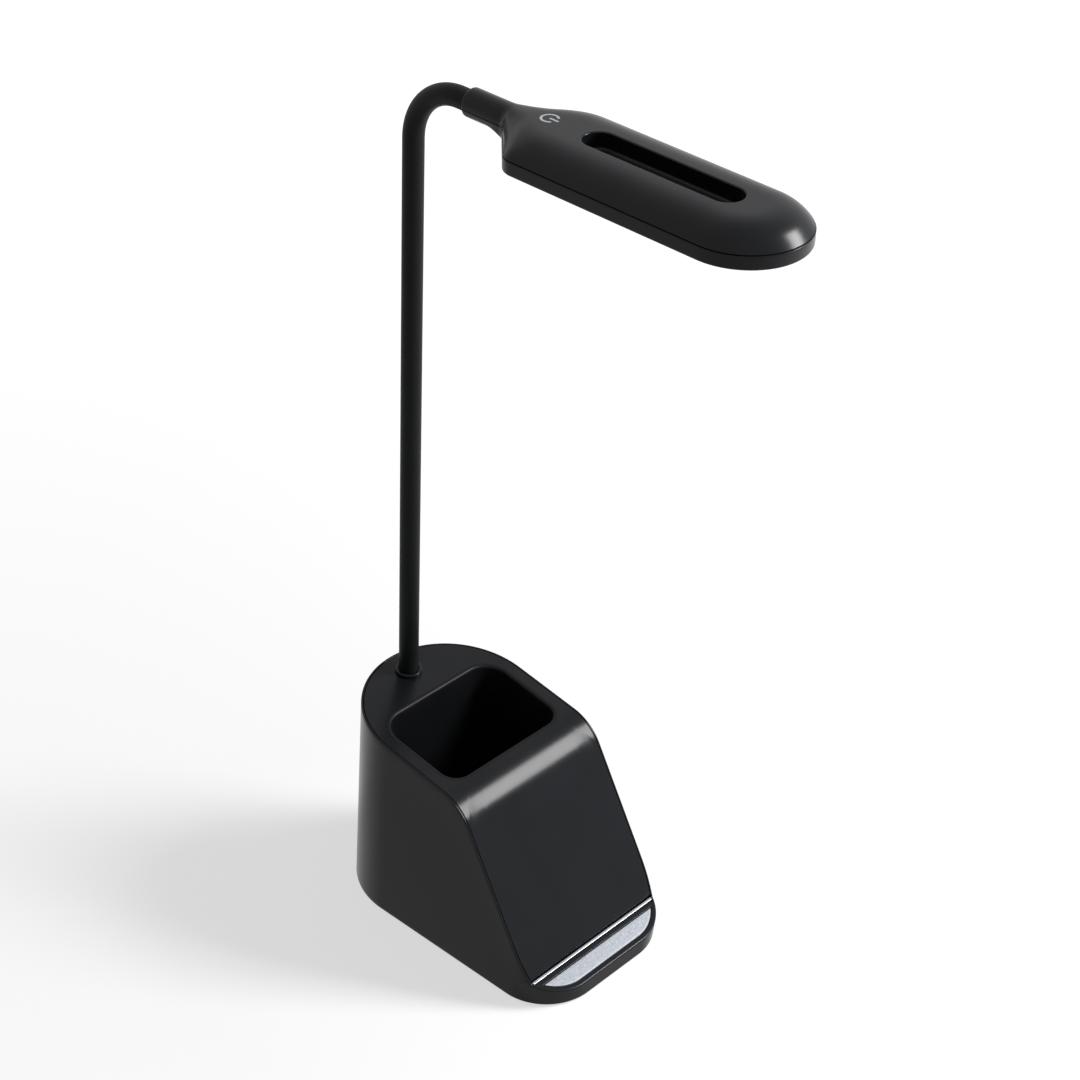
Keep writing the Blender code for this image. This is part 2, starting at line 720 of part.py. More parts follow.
def make_top_cover():
    cover = base_loft("top_cover", RIM_WALL + GAP, -OVERRUN, LOFT_HEIGHT, BLACK_SATIN)
    start = FOOT_Y + STRIP_WIDTH / 2 + GAP
    slab = saddle_line(0, start) + list(reversed(saddle_line(COVER_WALL, start)))
    keep_inside(cover, side_prism("cover_slab", slab))
    for index, (side, share) in enumerate((side, share) for side in (-1, 1) for share in HOOK_SHARES):
        y = lerp(CUP_FRONT_Y, CUP_REAR_Y, share)
        top = top_z(y - HOOK_LENGTH / 2, COVER_WALL / 2)
        outer = BASE_WIDTH / 2 - top * math.tan(SIDE_DRAFT) - WALL - GAP
        inner = outer - HOOK_THICKNESS
        low = min(side * outer, side * inner)
        join(cover, box(f"hook_{index}", (low, y - HOOK_LENGTH / 2, top - HOOK_DROP),
                        (low + HOOK_THICKNESS, y + HOOK_LENGTH / 2, top)))
    foot = neck_frame(0)
    join(cover, cylinder("neck_seat", SEAT_RADIUS, -SEAT_DEPTH, -COVER_WALL / 2, foot))
    mouth = loft("cup_mouth", [cup_section(z, -GAP) for z in (CUP_BASE, LOFT_HEIGHT + OVERRUN)])
    cut(cover, mouth, cylinder("anchor_bore", ANCHOR_RADIUS + GAP, -SEAT_DEPTH - OVERRUN, OVERRUN, foot),
        cylinder("collar_bore", COLLAR_RADIUS + GAP, -COLLAR_SEAT, OVERRUN, foot))


def make_pen_cup():
    cup = loft("pen_cup", [cup_section(z, 0) for z in (CUP_BASE, LOFT_HEIGHT)], BLACK_INNER)
    front = FRONT_Y - OVERRUN
    flush = side_prism("cup_flush", above([(front, top_z(front)), (REAR_Y, top_z(REAR_Y))]))
    inside = [cup_section(z, CUP_WALL) for z in (CUP_BASE + CUP_FLOOR, LOFT_HEIGHT + OVERRUN)]
    cut(cup, flush, loft("cup_inside", inside))


def board_posts():
    """Two posts at opposite corners of the control board."""
    x = BOARD_LENGTH / 2 - POST_INSET
    return [(-x, BOARD_FRONT_Y + POST_INSET), (x, BOARD_REAR_Y - POST_INSET)]


def usb_board_front():
    return usb_port()[1] - USB_BOARD_SETBACK - USB_BOARD_DEPTH


def usb_posts():
    y = usb_board_front() + POST_INSET
    return [(-USB_POST_SPREAD, y), (USB_POST_SPREAD, y)]


def make_bottom_cover():
    """The plate that closes the base from below, with the posts that carry the two boards."""
    cover = base_loft("bottom_cover", WALL + GAP, BOTTOM_Z, BOTTOM_TOP, BLACK_INNER)
    sink_top = BOTTOM_Z + SCREW_HEAD_HEIGHT + GAP
    posts, bores = [], []
    for places, radius, height in ((board_posts(), POST_RADIUS, POST_HEIGHT),
                                   (usb_posts(), USB_POST_RADIUS, USB_POST_HEIGHT)):
        top = BOTTOM_TOP + height
        posts += [(x, y, radius, BOTTOM_TOP - SINK, top) for x, y in places]
        bore = top - SMALL_SCREW_LENGTH
        bores += [(x, y, SMALL_SCREW_RADIUS + BITE, bore, top + OVERRUN) for x, y in places]
    screw_places = boss_places()
    hole_top = BOTTOM_TOP + OVERRUN
    join(cover, pins("cover_posts", posts))
    cut(cover, pins("post_bores", bores),
        pins("head_sinks", [(x, y, SCREW_HEAD_RADIUS + GAP, 0, sink_top) for x, y in screw_places]),
        pins("screw_holes", [(x, y, SCREW_RADIUS + GAP, 0, hole_top) for x, y in screw_places]))
    frames = [Matrix.Translation((x, y, BOTTOM_Z)) for x, y in screw_places]
    profile = screw_profile(SCREW_RADIUS, SCREW_HEAD_RADIUS, SCREW_HEAD_HEIGHT, SCREW_LENGTH)
    screws("base_screw", profile, frames)


def make_foot_pad():
    outline = [(x, y) for x, y, z in base_section(SKIRT_Z, WALL + FOOT_PAD_MARGIN)]
    level_plate("anti_slip_pad", outline, 0, FOOT_PAD_THICKNESS - GAP, BLACK_RUBBER)


def make_ballast():
    bottom = BOTTOM_TOP + GAP
    plate_body = base_loft("ballast_plate", WALL + BALLAST_MARGIN, bottom, BALLAST_TOP, STEEL)
    reach = BASE_WIDTH
    rear = boss_places()[-1][1] - BOSS_RADIUS - BALLAST_LEAD
    front = CUP_FRONT_Y + BALLAST_LEAD
    roof = BALLAST_TOP + OVERRUN
    cut(plate_body, box("ballast_front", (-reach, FRONT_Y - OVERRUN, 0), (reach, front, roof)),
        box("ballast_rear", (-reach, rear, 0), (reach, REAR_Y, roof)))


def make_battery():
    along_x = Matrix.Translation((0, CELL_Y, CELL_Z)) @ Matrix.Rotation(math.pi / 2, 4, "Y")
    half = CELL_LENGTH / 2
    nub = half + CELL_NUB_HEIGHT
    profile = [(0, nub), (CELL_NUB_RADIUS, nub), (CELL_NUB_RADIUS, half),
               (CELL_RADIUS, half), (CELL_RADIUS, -half), (0, -half)]
    turned("battery_cell", profile, along_x, ROUND_STEPS, CELL_BLUE)
    bottom = BOTTOM_TOP + GAP
    cradle = box("battery_cradle", (-CRADLE_LENGTH / 2, CELL_Y - CRADLE_WIDTH / 2, bottom),
                 (CRADLE_LENGTH / 2, CELL_Y + CRADLE_WIDTH / 2, bottom + CRADLE_HEIGHT), BLACK_INNER)
    cut(cradle, cylinder("cell_bed", CELL_RADIUS + GAP, -half - OVERRUN, half + OVERRUN, along_x))


def make_control_board():
    """The board that charges the cell and dims the light, with its chip, coil and two plugs."""
    top = BOARD_TOP
    board = box("control_board", (-BOARD_LENGTH / 2, BOARD_FRONT_Y, BOARD_BOTTOM),
                (BOARD_LENGTH / 2, BOARD_REAR_Y, top), BOARD_GREEN)
    chip = Vector(CHIP_SIZE)
    chip_low = Vector((-COIL_RADIUS - GAP - chip.x, BOARD_Y + PLUG_SIZE[1] / 2 + GAP, top - SINK))
    blocks = [(chip_low, chip_low + chip), plug_block(-1), plug_block(1)]
    coil = cylinder("board_coil", COIL_RADIUS, top - SINK, top + COIL_HEIGHT,
                    Matrix.Translation((0, BOARD_Y, 0)))
    join(board, boxes("board_blocks", blocks), coil)
    holes = [(x, y, SMALL_SCREW_RADIUS + GAP, 0, top + OVERRUN) for x, y in board_posts()]
    cut(board, pins("board_holes", holes))
    screws("board_screw", small_screw(), board_screw_frames(board_posts(), top))


def board_screw_frames(places, board_top):
    """Frames of screws that go down through a board."""
    upside_down = Matrix.Rotation(math.pi, 4, "X")
    head_top = board_top + GAP + SMALL_SCREW_HEAD_HEIGHT
    return [Matrix.Translation((x, y, head_top)) @ upside_down for x, y in places]


def plug_block(side):
    """The socket on the control board where a lead plugs in."""
    width, depth, height = PLUG_SIZE
    x = side * (BOARD_LENGTH / 2 - POST_INSET - SMALL_SCREW_HEAD_RADIUS - width)
    seat = BOARD_TOP - SINK
    return (x - width / 2, BOARD_Y - depth / 2, seat), (x + width / 2, BOARD_Y + depth / 2, seat + height)


def small_screw():
    return screw_profile(SMALL_SCREW_RADIUS, SMALL_SCREW_HEAD_RADIUS, SMALL_SCREW_HEAD_HEIGHT,
                         SMALL_SCREW_LENGTH)


def make_usb_inlet():
    z, outer_y = usb_port()
    rear = outer_y
    board_top = z - USB_HEIGHT / 2 - GAP
    board_front = usb_board_front()
    board = box("usb_board", (-USB_BOARD_WIDTH / 2, board_front, board_top - BOARD_THICKNESS),
                (USB_BOARD_WIDTH / 2, board_front + USB_BOARD_DEPTH, board_top), BOARD_GREEN)
    holes = [(x, y, SMALL_SCREW_RADIUS + GAP, 0, board_top + OVERRUN) for x, y in usb_posts()]
    cut(board, pins("usb_board_holes", holes))
    screws("usb_board_screw", small_screw(), board_screw_frames(usb_posts(), board_top))
    half_x, half_z = USB_WIDTH / 2, USB_HEIGHT / 2
    socket = box("usb_socket", (-half_x, rear - USB_DEPTH, z - half_z), (half_x, rear, z + half_z), STEEL)
    inner_x, inner_z = half_x - USB_SHELL, half_z - USB_SHELL
    back = rear - USB_DEPTH + USB_SHELL * 3
    cut(socket, box("usb_mouth", (-inner_x, back, z - inner_z), (inner_x, rear + OVERRUN, z + inner_z)))
    tongue_x = inner_x - USB_TONGUE
    join(socket, box("usb_tongue", (-tongue_x, back - USB_SHELL, z - USB_TONGUE / 2),
                     (tongue_x, rear - USB_SHELL * 2, z + USB_TONGUE / 2)))


def lead_route(side):
    """The way of a lead forward beside the cup and the cell, to its plug on the control board."""
    lane_x = side * (CUP_WIDTH / 2 + BASE_WIDTH / 2 - WALL) / 2
    lane_z = BOARD_TOP + LEAD_RISE
    corner_y = CUP_REAR_Y - CUP_REAR_CORNER
    turn_y = lerp(CUP_REAR_Y, corner_y, LEAD_TURN_SHARE)
    cell_x = lerp(side * CELL_LENGTH / 2, lane_x, LEAD_SHIFT_SHARE)
    front_y = CELL_Y - CELL_RADIUS
    low, high = (Vector(corner) for corner in plug_block(side))
    plug_x = side * (max(abs(low.x), abs(high.x)) + GAP)
    plug_z = lerp(low.z, high.z, LEAD_SHIFT_SHARE)
    return [(lane_x * LEAD_CORNER_SHARE, turn_y, lane_z), (lane_x, corner_y, lane_z),
            (lane_x, lerp(corner_y, CUP_FRONT_Y, LEAD_SIDE_SHARE), lane_z), (lane_x, CUP_FRONT_Y, lane_z),
            (cell_x, CELL_Y, lane_z), (cell_x, front_y, lane_z),
            (lerp(cell_x, plug_x, LEAD_PLUG_SHARE), lerp(BOARD_Y, front_y, LEAD_TURN_SHARE), plug_z),
            (plug_x + side * PLUG_SIZE[0] / 2, BOARD_Y, plug_z), (plug_x, BOARD_Y, plug_z)]


def make_leads():
    foot = neck_frame(-ANCHOR_LENGTH - GAP)
    down = foot.to_3x3() @ Vector((0, 0, -1))
    top = foot.translation
    lane_y = lerp(CUP_REAR_Y, top.y, LEAD_LANE_SHARE)
    start = [top, top + down * ANCHOR_LENGTH / 2]
    start += [(CUP_WIDTH * across, lane_y, top.z * up) for across, up in NECK_LEAD_SHARES]
    points = smooth_route(start + lead_route(1), LEAD_POINT_SPACING)
    tube("neck_lead", points, LEAD_RADIUS, LEAD_RESOLUTION, LEAD_GREY)
    edge_y = usb_board_front() - GAP
    wire_z = usb_port()[0] - USB_HEIGHT / 2 - GAP - BOARD_THICKNESS / 2
    across, along = USB_LEAD_SHARES
    start = [(0, edge_y, wire_z), (0, edge_y - PLUG_SIZE[0] / 2, wire_z),
             (-CUP_WIDTH * across, lerp(CUP_REAR_Y, edge_y, along), wire_z)]
    points = smooth_route(start + lead_route(-1), LEAD_POINT_SPACING)
    tube("usb_lead", points, LEAD_RADIUS, LEAD_RESOLUTION, LEAD_GREY)


def neck_place(s):
    """Where the neck's centre line is, that far along it from the foot, and the angle it leans forward."""
    lean = NECK_LEAN
    y, z = NECK_Y, top_z(NECK_Y)
    run = min(s, NECK_STRAIGHT)
    y -= run * math.sin(lean)
    z += run * math.cos(lean)
    if s <= NECK_STRAIGHT:
        return Vector((0, y, z)), lean
    turn = min(s - NECK_STRAIGHT, NECK_ARC) / NECK_BEND_RADIUS
    y += NECK_BEND_RADIUS * (math.cos(lean + turn) - math.cos(lean))
    z += NECK_BEND_RADIUS * (math.sin(lean + turn) - math.sin(lean))
    lean += turn
    rest = s - NECK_STRAIGHT - turn * NECK_BEND_RADIUS
    return Vector((0, y - rest * math.sin(lean), z + rest * math.cos(lean))), lean


def neck_frame(s):
    """A frame on the neck's centre line whose Z runs along the neck."""
    at, lean = neck_place(s)
    return Matrix.Translation(at) @ Matrix.Rotation(lean, 4, "X")


def neck_joints():
    """Distance along the neck and bending limit of each joint, from the foot up."""
    stem = [(STEM_FIRST + STEM_STEP * index, STEM_LIMIT) for index in range(STEM_JOINTS)]
    crown = [(CROWN_FIRST + CROWN_STEP * index, CROWN_LIMIT) for index in range(CROWN_JOINTS)]
    turn = NECK_STRAIGHT + NECK_ARC + NECK_TAIL - TURN_LEAD
    return stem + crown + [(turn, TURN_LIMIT)]


def relief(s, limit):
    """How far each side of a joint the neck's pieces stop, so that they clear when it bends."""
    if not CROWN_FIRST <= s < NECK_STRAIGHT + NECK_ARC:
        return NECK_RADIUS * math.tan(limit / 2) + GAP
    facet = NECK_POINT_SPACING / NECK_BEND_RADIUS / 2
    return (NECK_RADIUS * math.tan(limit / 2 + facet) + GAP) / (1 - NECK_RADIUS / NECK_BEND_RADIUS)


def neck_points(start, end, origin):
    steps = 1
    if end > NECK_STRAIGHT:
        steps = max(1, round((end - start) / NECK_POINT_SPACING))
    return [neck_place(lerp(start, end, step / steps))[0] - origin for step in range(steps + 1)]


def make_neck():
    joints = neck_joints()
    ends = [(-COLLAR_SEAT + GAP * 2, 0)] + joints + [(NECK_END, 0)]
    for index, ((start, start_limit), (end, end_limit)) in enumerate(zip(ends, ends[1:])):
        first, last = index == 0, index == len(joints)
        origin = neck_place(start)[0]
        low = start if first else start + relief(start, start_limit)
        high = end if last else end - relief(end, end_limit)
        if last:
            parent, origin = HEAD_PIVOT, neck_place(start)[0]
            turn_back = Matrix.Rotation(-HEAD_PITCH, 4, "X")
        else:
            parent, turn_back = pivot(f"neck_pivot_{index}", origin), Matrix.Identity(4)
        core_low = -SOCKET_DEPTH if first else low
        sleeve = tube(f"neck_sleeve_{index}", neck_points(low, high, origin), NECK_RADIUS, TUBE_RESOLUTION,
                      BLACK_RUBBER, parent)
        bore = tube(f"sleeve_bore_{index}", neck_points(low - OVERRUN / 3, high + OVERRUN / 3, origin),
                    NECK_BORE, TUBE_RESOLUTION, None, parent)
        core = tube(f"neck_core_{index}", neck_points(core_low, high, origin), CORE_RADIUS, TUBE_RESOLUTION,
                    STEEL, parent)
        cut(sleeve, bore)
        tools = [sleeve, bore, core]
        if not last:
            knob = ball(f"knob_{index}", BALL_RADIUS, neck_place(end)[0] - origin)
            knob.parent = parent
            join(core, knob)
        if not first:
            socket = ball(f"socket_{index}", BALL_RADIUS + GAP, (0, 0, 0))
            socket.parent = parent
            cut(core, socket)
        for tool in tools:
            tool.matrix_basis = turn_back @ tool.matrix_basis


def make_neck_fixing():
    foot = neck_frame(0)
    collar = tube_ring(COLLAR_RADIUS, NECK_RADIUS + GAP, -COLLAR_SEAT + GAP, COLLAR_HEIGHT)
    turned("neck_collar", collar, foot, ROUND_STEPS, BLACK_RUBBER, ring=True)
    socket = -SOCKET_DEPTH - GAP
    anchor_top = -COLLAR_SEAT
    anchor = [(ANCHOR_RADIUS, anchor_top), (ANCHOR_RADIUS, -ANCHOR_LENGTH), (ANCHOR_BORE, -ANCHOR_LENGTH),
              (ANCHOR_BORE, socket), (NECK_BORE, socket), (NECK_BORE, anchor_top)]
    turned("neck_anchor", anchor, foot, ROUND_STEPS, STEEL, ring=True)
    bore = ANCHOR_RADIUS + GAP
    washer_top = -SEAT_DEPTH - GAP
    washer_bottom = washer_top - WASHER_THICKNESS
    washer = tube_ring(WASHER_RADIUS, bore, washer_bottom, washer_top)
    turned("neck_washer", washer, foot, ROUND_STEPS, STEEL, ring=True)
    nut_top = washer_bottom - GAP
    nut = cylinder("neck_nut", NUT_RADIUS, nut_top - NUT_HEIGHT, nut_top, foot, NUT_STEPS, STEEL)
    cut(nut, cylinder("nut_bore", bore, nut_top - NUT_HEIGHT - OVERRUN, nut_top + OVERRUN, foot))


def head_outline(inset):
    """The head's plan outline without its stub, inset by that much; local Y runs backwards."""
    full = HEAD_HALF_WIDTH - inset
    shoulder = max(SHOULDER_RADIUS - inset, LEAST_RADIUS)
    apex = max(APEX_RADIUS - inset, LEAST_RADIUS)
    corner_u = CORNER_U + inset * math.tan(SHOULDER_ANGLE / 2)
    apex_u = corner_u - full / math.tan(SHOULDER_ANGLE) + apex / math.sin(SHOULDER_ANGLE)
    shoulder_u = corner_u + shoulder * math.tan(SHOULDER_ANGLE / 2)
    slant = math.pi / 2 + SHOULDER_ANGLE
    half = arc((apex_u, 0), apex, math.pi, slant, SHOULDER_STEPS)
    half += arc((shoulder_u, full - shoulder), shoulder, slant, math.pi / 2, SHOULDER_STEPS)
    half += arc((NOSE_U, 0), full, math.pi / 2, 0, NOSE_STEPS)
    right = [(v, -u) for u, v in half]
    return right + [(-x, y) for x, y in reversed(right[1:-1])]


def dome_rise(inset):
    """Height of the head's top surface that far in from its edge."""
    return BAND_HEIGHT + DOME_RISE * (1 - (1 - min(inset / DOME_RUN, 1)) ** 3)


def dome_height(u, v):
    """Height of the head's top surface over its underside plane."""
    edge = HEAD_HALF_WIDTH - abs(v)
    if u > NOSE_U:
        edge = HEAD_HALF_WIDTH - math.hypot(u - NOSE_U, v)
    forward, outward = u - SHOULDER_U, abs(v) - STUB_RADIUS
    return dome_rise(min(edge, forward * math.sin(SHOULDER_ANGLE) - outward * math.cos(SHOULDER_ANGLE)))


def dome(name, wall, bottom, finish=None, parent=None):
    """The volume under the head's top surface, a wall thickness in from it, down to a level."""
    lip = BAND_HEIGHT + LEDGE_STEP + GAP
    steps = [(EDGE_INSET + wall, bottom), (EDGE_INSET + wall, lip)]
    for share in DOME_SHARES:
        inset = lerp(EDGE_INSET, DOME_RUN, share)
        steps.append((inset + wall, max(dome_rise(inset) - wall, lip + GAP * share)))
    rings = [[(x, y, height) for x, y in head_outline(inset)] for inset, height in steps]
    return loft(name, rings, finish, parent, smooth=True)


def stub(name, bottom, top):
    """The part of the round stub between two levels."""
    rear = STUB_RADIUS - STUB_CHAMFER
    profile = [(0, SHOULDER_U + STUB_RADIUS), (STUB_RADIUS, SHOULDER_U + STUB_RADIUS),
               (STUB_RADIUS, STUB_CHAMFER), (rear, 0), (0, 0)]
    along = Matrix.Translation((0, 0, STUB_AXIS)) @ Matrix.Rotation(math.pi / 2, 4, "X")
    made = turned(name, profile, along, ROUND_STEPS, None)
    reach = 2 * STUB_RADIUS
    level = box(name + "_level", (-reach, -2 * SHOULDER_U, bottom), (reach, OVERRUN, top))
    keep_inside(made, level)
    return made, level


def stadium(rear, front, half, rear_corner):
    """A plate outline with a round front and rounded rear corners."""
    corner = min(rear_corner, half)
    right = arc((half - corner, -rear - corner), corner, math.pi / 2, 0, CORNER_STEPS)
    right += arc((0, -(front - half)), half, 0, -math.pi / 2, NOSE_STEPS)
    return right + [(-x, y) for x, y in reversed(right[:-1])]


def capsule(rear, front, half):
    right = arc((0, -rear - half), half, math.pi / 2, 0, CORNER_STEPS)
    right += arc((0, -front + half), half, 0, -math.pi / 2, CORNER_STEPS)
    return right + [(-x, y) for x, y in reversed(right[1:-1])]


def rectangle(rear, front, half):
    return [(half, -rear), (half, -front), (-half, -front), (-half, -rear)]


def seat_head(*items):
    for item in items:
        item.parent = HEAD_PIVOT
        item.matrix_basis = HEAD_OFFSET @ item.matrix_basis
    return items[0]


def head_screw_places():
    u = SHOULDER_U + HEAD_SCREW_SETBACK
    return [(side * HEAD_SCREW_SPREAD, -u) for side in (-1, 1)]


def led_screw_places():
    front, rear = NOSE_U - LED_BOSS_SETBACK / 4, CORNER_U + LED_BOSS_SETBACK
    return [(-LED_BOSS_SPREAD, -rear), (LED_BOSS_SPREAD, -front)]


def symbol_u():
    return SHOULDER_U + TOUCH_SETBACK


def symbol_outlines(extra):
    """A power symbol: an open ring and a bar, grown by that much all round."""
    u = symbol_u()
    outer, inner = SYMBOL_RADIUS + extra, SYMBOL_RADIUS - SYMBOL_STROKE - extra
    open_half = SYMBOL_GAP - extra / SYMBOL_RADIUS
    start, end = -math.pi / 2 + open_half, math.pi * 3 / 2 - open_half
    ring = arc((0, -u), outer, start, end, ROUND_STEPS) + arc((0, -u), inner, end, start, ROUND_STEPS)
    return ring, rectangle(u - extra, u + SYMBOL_BAR + extra, SYMBOL_STROKE / 2 + extra)


def make_head_shell():
    shell = dome("head_top_shell", 0, BAND_HEIGHT + GAP, BLACK_SATIN)
    stub_top, level = stub("stub_top", BAND_HEIGHT + GAP, CREST_W + OVERRUN)
    cavity = dome("head_cavity", SHELL_WALL, BAND_HEIGHT - OVERRUN)
    neck_bore = stub_bore("shell_neck_bore")
    tray = level_plate("slot_tray", capsule(SLOT_REAR_U - SLOT_WALL, SLOT_FRONT_U + SLOT_WALL,
                                            SLOT_HALF_WIDTH + SLOT_WALL),
                       SLOT_FLOOR_W - SLOT_WALL, CREST_W - SHELL_WALL / 2)
    slot = level_plate("slot_recess", capsule(SLOT_REAR_U, SLOT_FRONT_U, SLOT_HALF_WIDTH),
                       SLOT_FLOOR_W, CREST_W + OVERRUN)
    bosses, bores = [], []
    kinds = ((head_screw_places(), HEAD_BOSS_RADIUS, FRAME_WALL + GAP, SCREW_RADIUS),
             (led_screw_places(), LED_BOSS_RADIUS, LED_BOARD_TOP + GAP, SMALL_SCREW_RADIUS))
    for places, radius, bottom, screw in kinds:
        for x, y in places:
            rim = arc((x, y), radius, 0, math.tau, SCREW_STEPS)
            top = min(dome_height(-rim_y, rim_x) for rim_x, rim_y in rim)
            bosses.append((x, y, radius, bottom, top - SHELL_WALL / 2))
            bores.append((x, y, screw + BITE, bottom - OVERRUN, bottom + SMALL_SCREW_LENGTH + GAP))
    boss_tool, bore_tool = pins("head_bosses", bosses), pins("head_bores", bores)
    groove_floor = CREST_W - SYMBOL_DEPTH - SYMBOL_BACK
    grooves = [level_plate(f"symbol_groove_{index}", outline, groove_floor, CREST_W + OVERRUN)
               for index, outline in enumerate(symbol_outlines(GAP))]
    seat = cylinder("symbol_seat", SYMBOL_RADIUS + 2 * GAP, BAND_HEIGHT, CREST_W - SYMBOL_DEPTH,
                    Matrix.Translation((0, -symbol_u(), 0)))
    join(shell, stub_top)
    cut(shell, cavity, neck_bore)
    join(shell, tray, boss_tool)
    cut(shell, bore_tool, slot, seat, *grooves)
    seat_head(shell, stub_top, level, cavity, neck_bore, tray, boss_tool, bore_tool, slot, seat, *grooves)


def stub_bore(name):
    along = Matrix.Translation((0, 0, STUB_AXIS)) @ Matrix.Rotation(math.pi / 2, 4, "X")
    return cylinder(name, NECK_RADIUS + GAP, -OVERRUN, SHOULDER_U + CAVITY_SETBACK * 2, along)


def make_symbol():
    """The power symbol: an insert whose strokes come up flush through the shell."""
    bottom, top = CREST_W - SYMBOL_DEPTH - GAP, CREST_W
    ring, bar = (level_plate(f"symbol_stroke_{index}", outline, bottom, top)
                 for index, outline in enumerate(symbol_outlines(0)))
    symbol = cylinder("power_symbol", SYMBOL_RADIUS + GAP, bottom - SYMBOL_BACK, bottom + SINK / 2,
                      Matrix.Translation((0, -symbol_u(), 0)), ROUND_STEPS, PRINT_GREY)
    join(symbol, ring, bar)
    seat_head(symbol, ring, bar)


def make_head_frame():
    frame = level_plate("head_frame", head_outline(0), 0, BAND_HEIGHT, BLACK_SATIN)
    stub_low, level = stub("stub_underside", -OVERRUN, BAND_HEIGHT)
    pocket = level_plate("frame_pocket", head_outline(FRAME_WALL), FRAME_WALL, BAND_HEIGHT + OVERRUN)
    opening = level_plate("diffuser_opening", diffuser_outline(0), -OVERRUN, FRAME_WALL + SINK)
    bore = stub_bore("frame_neck_bore")
    join(frame, stub_low)
    cut(frame, pocket, opening, bore)
    places = head_screw_places()
    holes = pins("frame_holes", [(x, y, SCREW_RADIUS + GAP, -OVERRUN, BAND_HEIGHT) for x, y in places])
    sink = SCREW_HEAD_RADIUS + GAP
    sinks = pins("frame_sinks", [(x, y, sink, -OVERRUN, SCREW_HEAD_HEIGHT) for x, y in places])
    cut(frame, holes, sinks)
    seat_head(frame, stub_low, level, pocket, opening, bore, holes, sinks)
    profile = screw_profile(SCREW_RADIUS, SCREW_HEAD_RADIUS, SCREW_HEAD_HEIGHT - GAP, HEAD_SCREW_LENGTH)
    frames = [Matrix.Translation((x, y, 0)) for x, y in places]
    seat_head(*screws("head_screw", profile, frames))


def diffuser_outline(inset):
    half = HEAD_HALF_WIDTH - DIFFUSER_MARGIN - inset
    rear = CORNER_U + DIFFUSER_REAR_MARGIN + inset
    return stadium(rear, NOSE_U + half, half, DIFFUSER_CORNER)


def make_diffuser():
    flange_bottom = FRAME_WALL + GAP
    diffuser = level_plate("diffuser", diffuser_outline(-DIFFUSER_LIP), flange_bottom,
                           flange_bottom + DIFFUSER_FLANGE, OPAL)
    lens = level_plate("diffuser_lens", diffuser_outline(GAP), 0, flange_bottom + DIFFUSER_FLANGE / 2)
    join(diffuser, lens)
    seat_head(diffuser, lens)


def make_led_unit():
    half = HEAD_HALF_WIDTH - LED_BOARD_MARGIN
    rear = CORNER_U + DIFFUSER_REAR_MARGIN
    board = level_plate("led_board", stadium(rear, NOSE_U + half, half, DIFFUSER_CORNER),
                        LED_BOARD_BOTTOM, LED_BOARD_TOP, BOARD_WHITE)
    tongue_rear = rear - TONGUE_LENGTH
    tongue = level_plate("board_tongue", rectangle(tongue_rear, rear + LED_PITCH / 2, TONGUE_HALF_WIDTH),
                         LED_BOARD_BOTTOM, LED_BOARD_TOP)
    join(board, tongue)
    hole = SMALL_SCREW_RADIUS + GAP
    holes = pins("led_board_holes", [(x, y, hole, 0, CREST_W) for x, y in led_screw_places()])
    cut(board, holes)
    size = Vector(LED_SIZE)
    first = rear + LED_PITCH / 2
    blocks = []
    for column in range(LED_COLUMNS):
        for v in (*(-row for row in LED_ROWS), *LED_ROWS):
            middle = -first - LED_PITCH * column
            low = Vector((v - size.x / 2, middle - size.y / 2, LED_BOARD_BOTTOM - size.z))
            blocks.append((low, low + size + Vector((0, 0, LED_BOARD_THICKNESS / 2))))
    leds = boxes("leds", blocks)
    join(board, leds)
    seat_head(board, tongue, holes, leds)
    head_height = LED_SIZE[2]
    profile = screw_profile(SMALL_SCREW_RADIUS, SMALL_SCREW_HEAD_RADIUS, head_height, SMALL_SCREW_LENGTH)
    head_bottom = LED_BOARD_BOTTOM - GAP - head_height
    frames = [Matrix.Translation((x, y, head_bottom)) for x, y in led_screw_places()]
    seat_head(*screws("led_board_screw", profile, frames))


def make_touch_switch():
    """The sensing disc under the symbol, and the spring that joins it to the light board."""
    u = symbol_u()
    at = Matrix.Translation((0, -u, 0))
    rim = arc((u, 0), TOUCH_RADIUS + SINK, 0, math.tau, ROUND_STEPS)
    under = min(dome_height(along, across) for along, across in rim) - SHELL_WALL - 2 * GAP
    disc_bottom = under - TOUCH_THICKNESS
    disc = cylinder("touch_disc", TOUCH_RADIUS, disc_bottom, under, at, ROUND_STEPS, COPPER)
    seat_head(disc)
    low = LED_BOARD_TOP + GAP + SPRING_WIRE
    high = disc_bottom - GAP - SPRING_WIRE
    points = []
    for step in range(SPRING_TURNS * SPRING_STEPS + 1):
        share = step / (SPRING_TURNS * SPRING_STEPS)
        turn = math.tau * SPRING_TURNS * share
        x, y = SPRING_RADIUS * math.cos(turn), SPRING_RADIUS * math.sin(turn) - u
        points.append((x, y, lerp(low, high, share)))
    seat_head(tube("touch_spring", points, SPRING_WIRE, 1, STEEL))


def make_head_lead():
    """The wires from the neck's end to the light board's tongue."""
    start = Vector((0, -NECK_INSERT - 2 * GAP, STUB_AXIS))
    board_u = CORNER_U + DIFFUSER_REAR_MARGIN - TONGUE_LENGTH
    end = Vector((0, -board_u - HEAD_LEAD_RADIUS, LED_BOARD_TOP + GAP + HEAD_LEAD_RADIUS))
    bend = Vector((0, lerp(start.y, end.y, HEAD_LEAD_SHARE), end.z))
    before_end = end + Vector((0, HEAD_LEAD_RADIUS * 2, 0))
    points = smooth_route([start, bend, before_end, end], HEAD_LEAD_RADIUS * 3)
    seat_head(tube("head_lead", points, HEAD_LEAD_RADIUS, LEAD_RESOLUTION, LEAD_GREY))


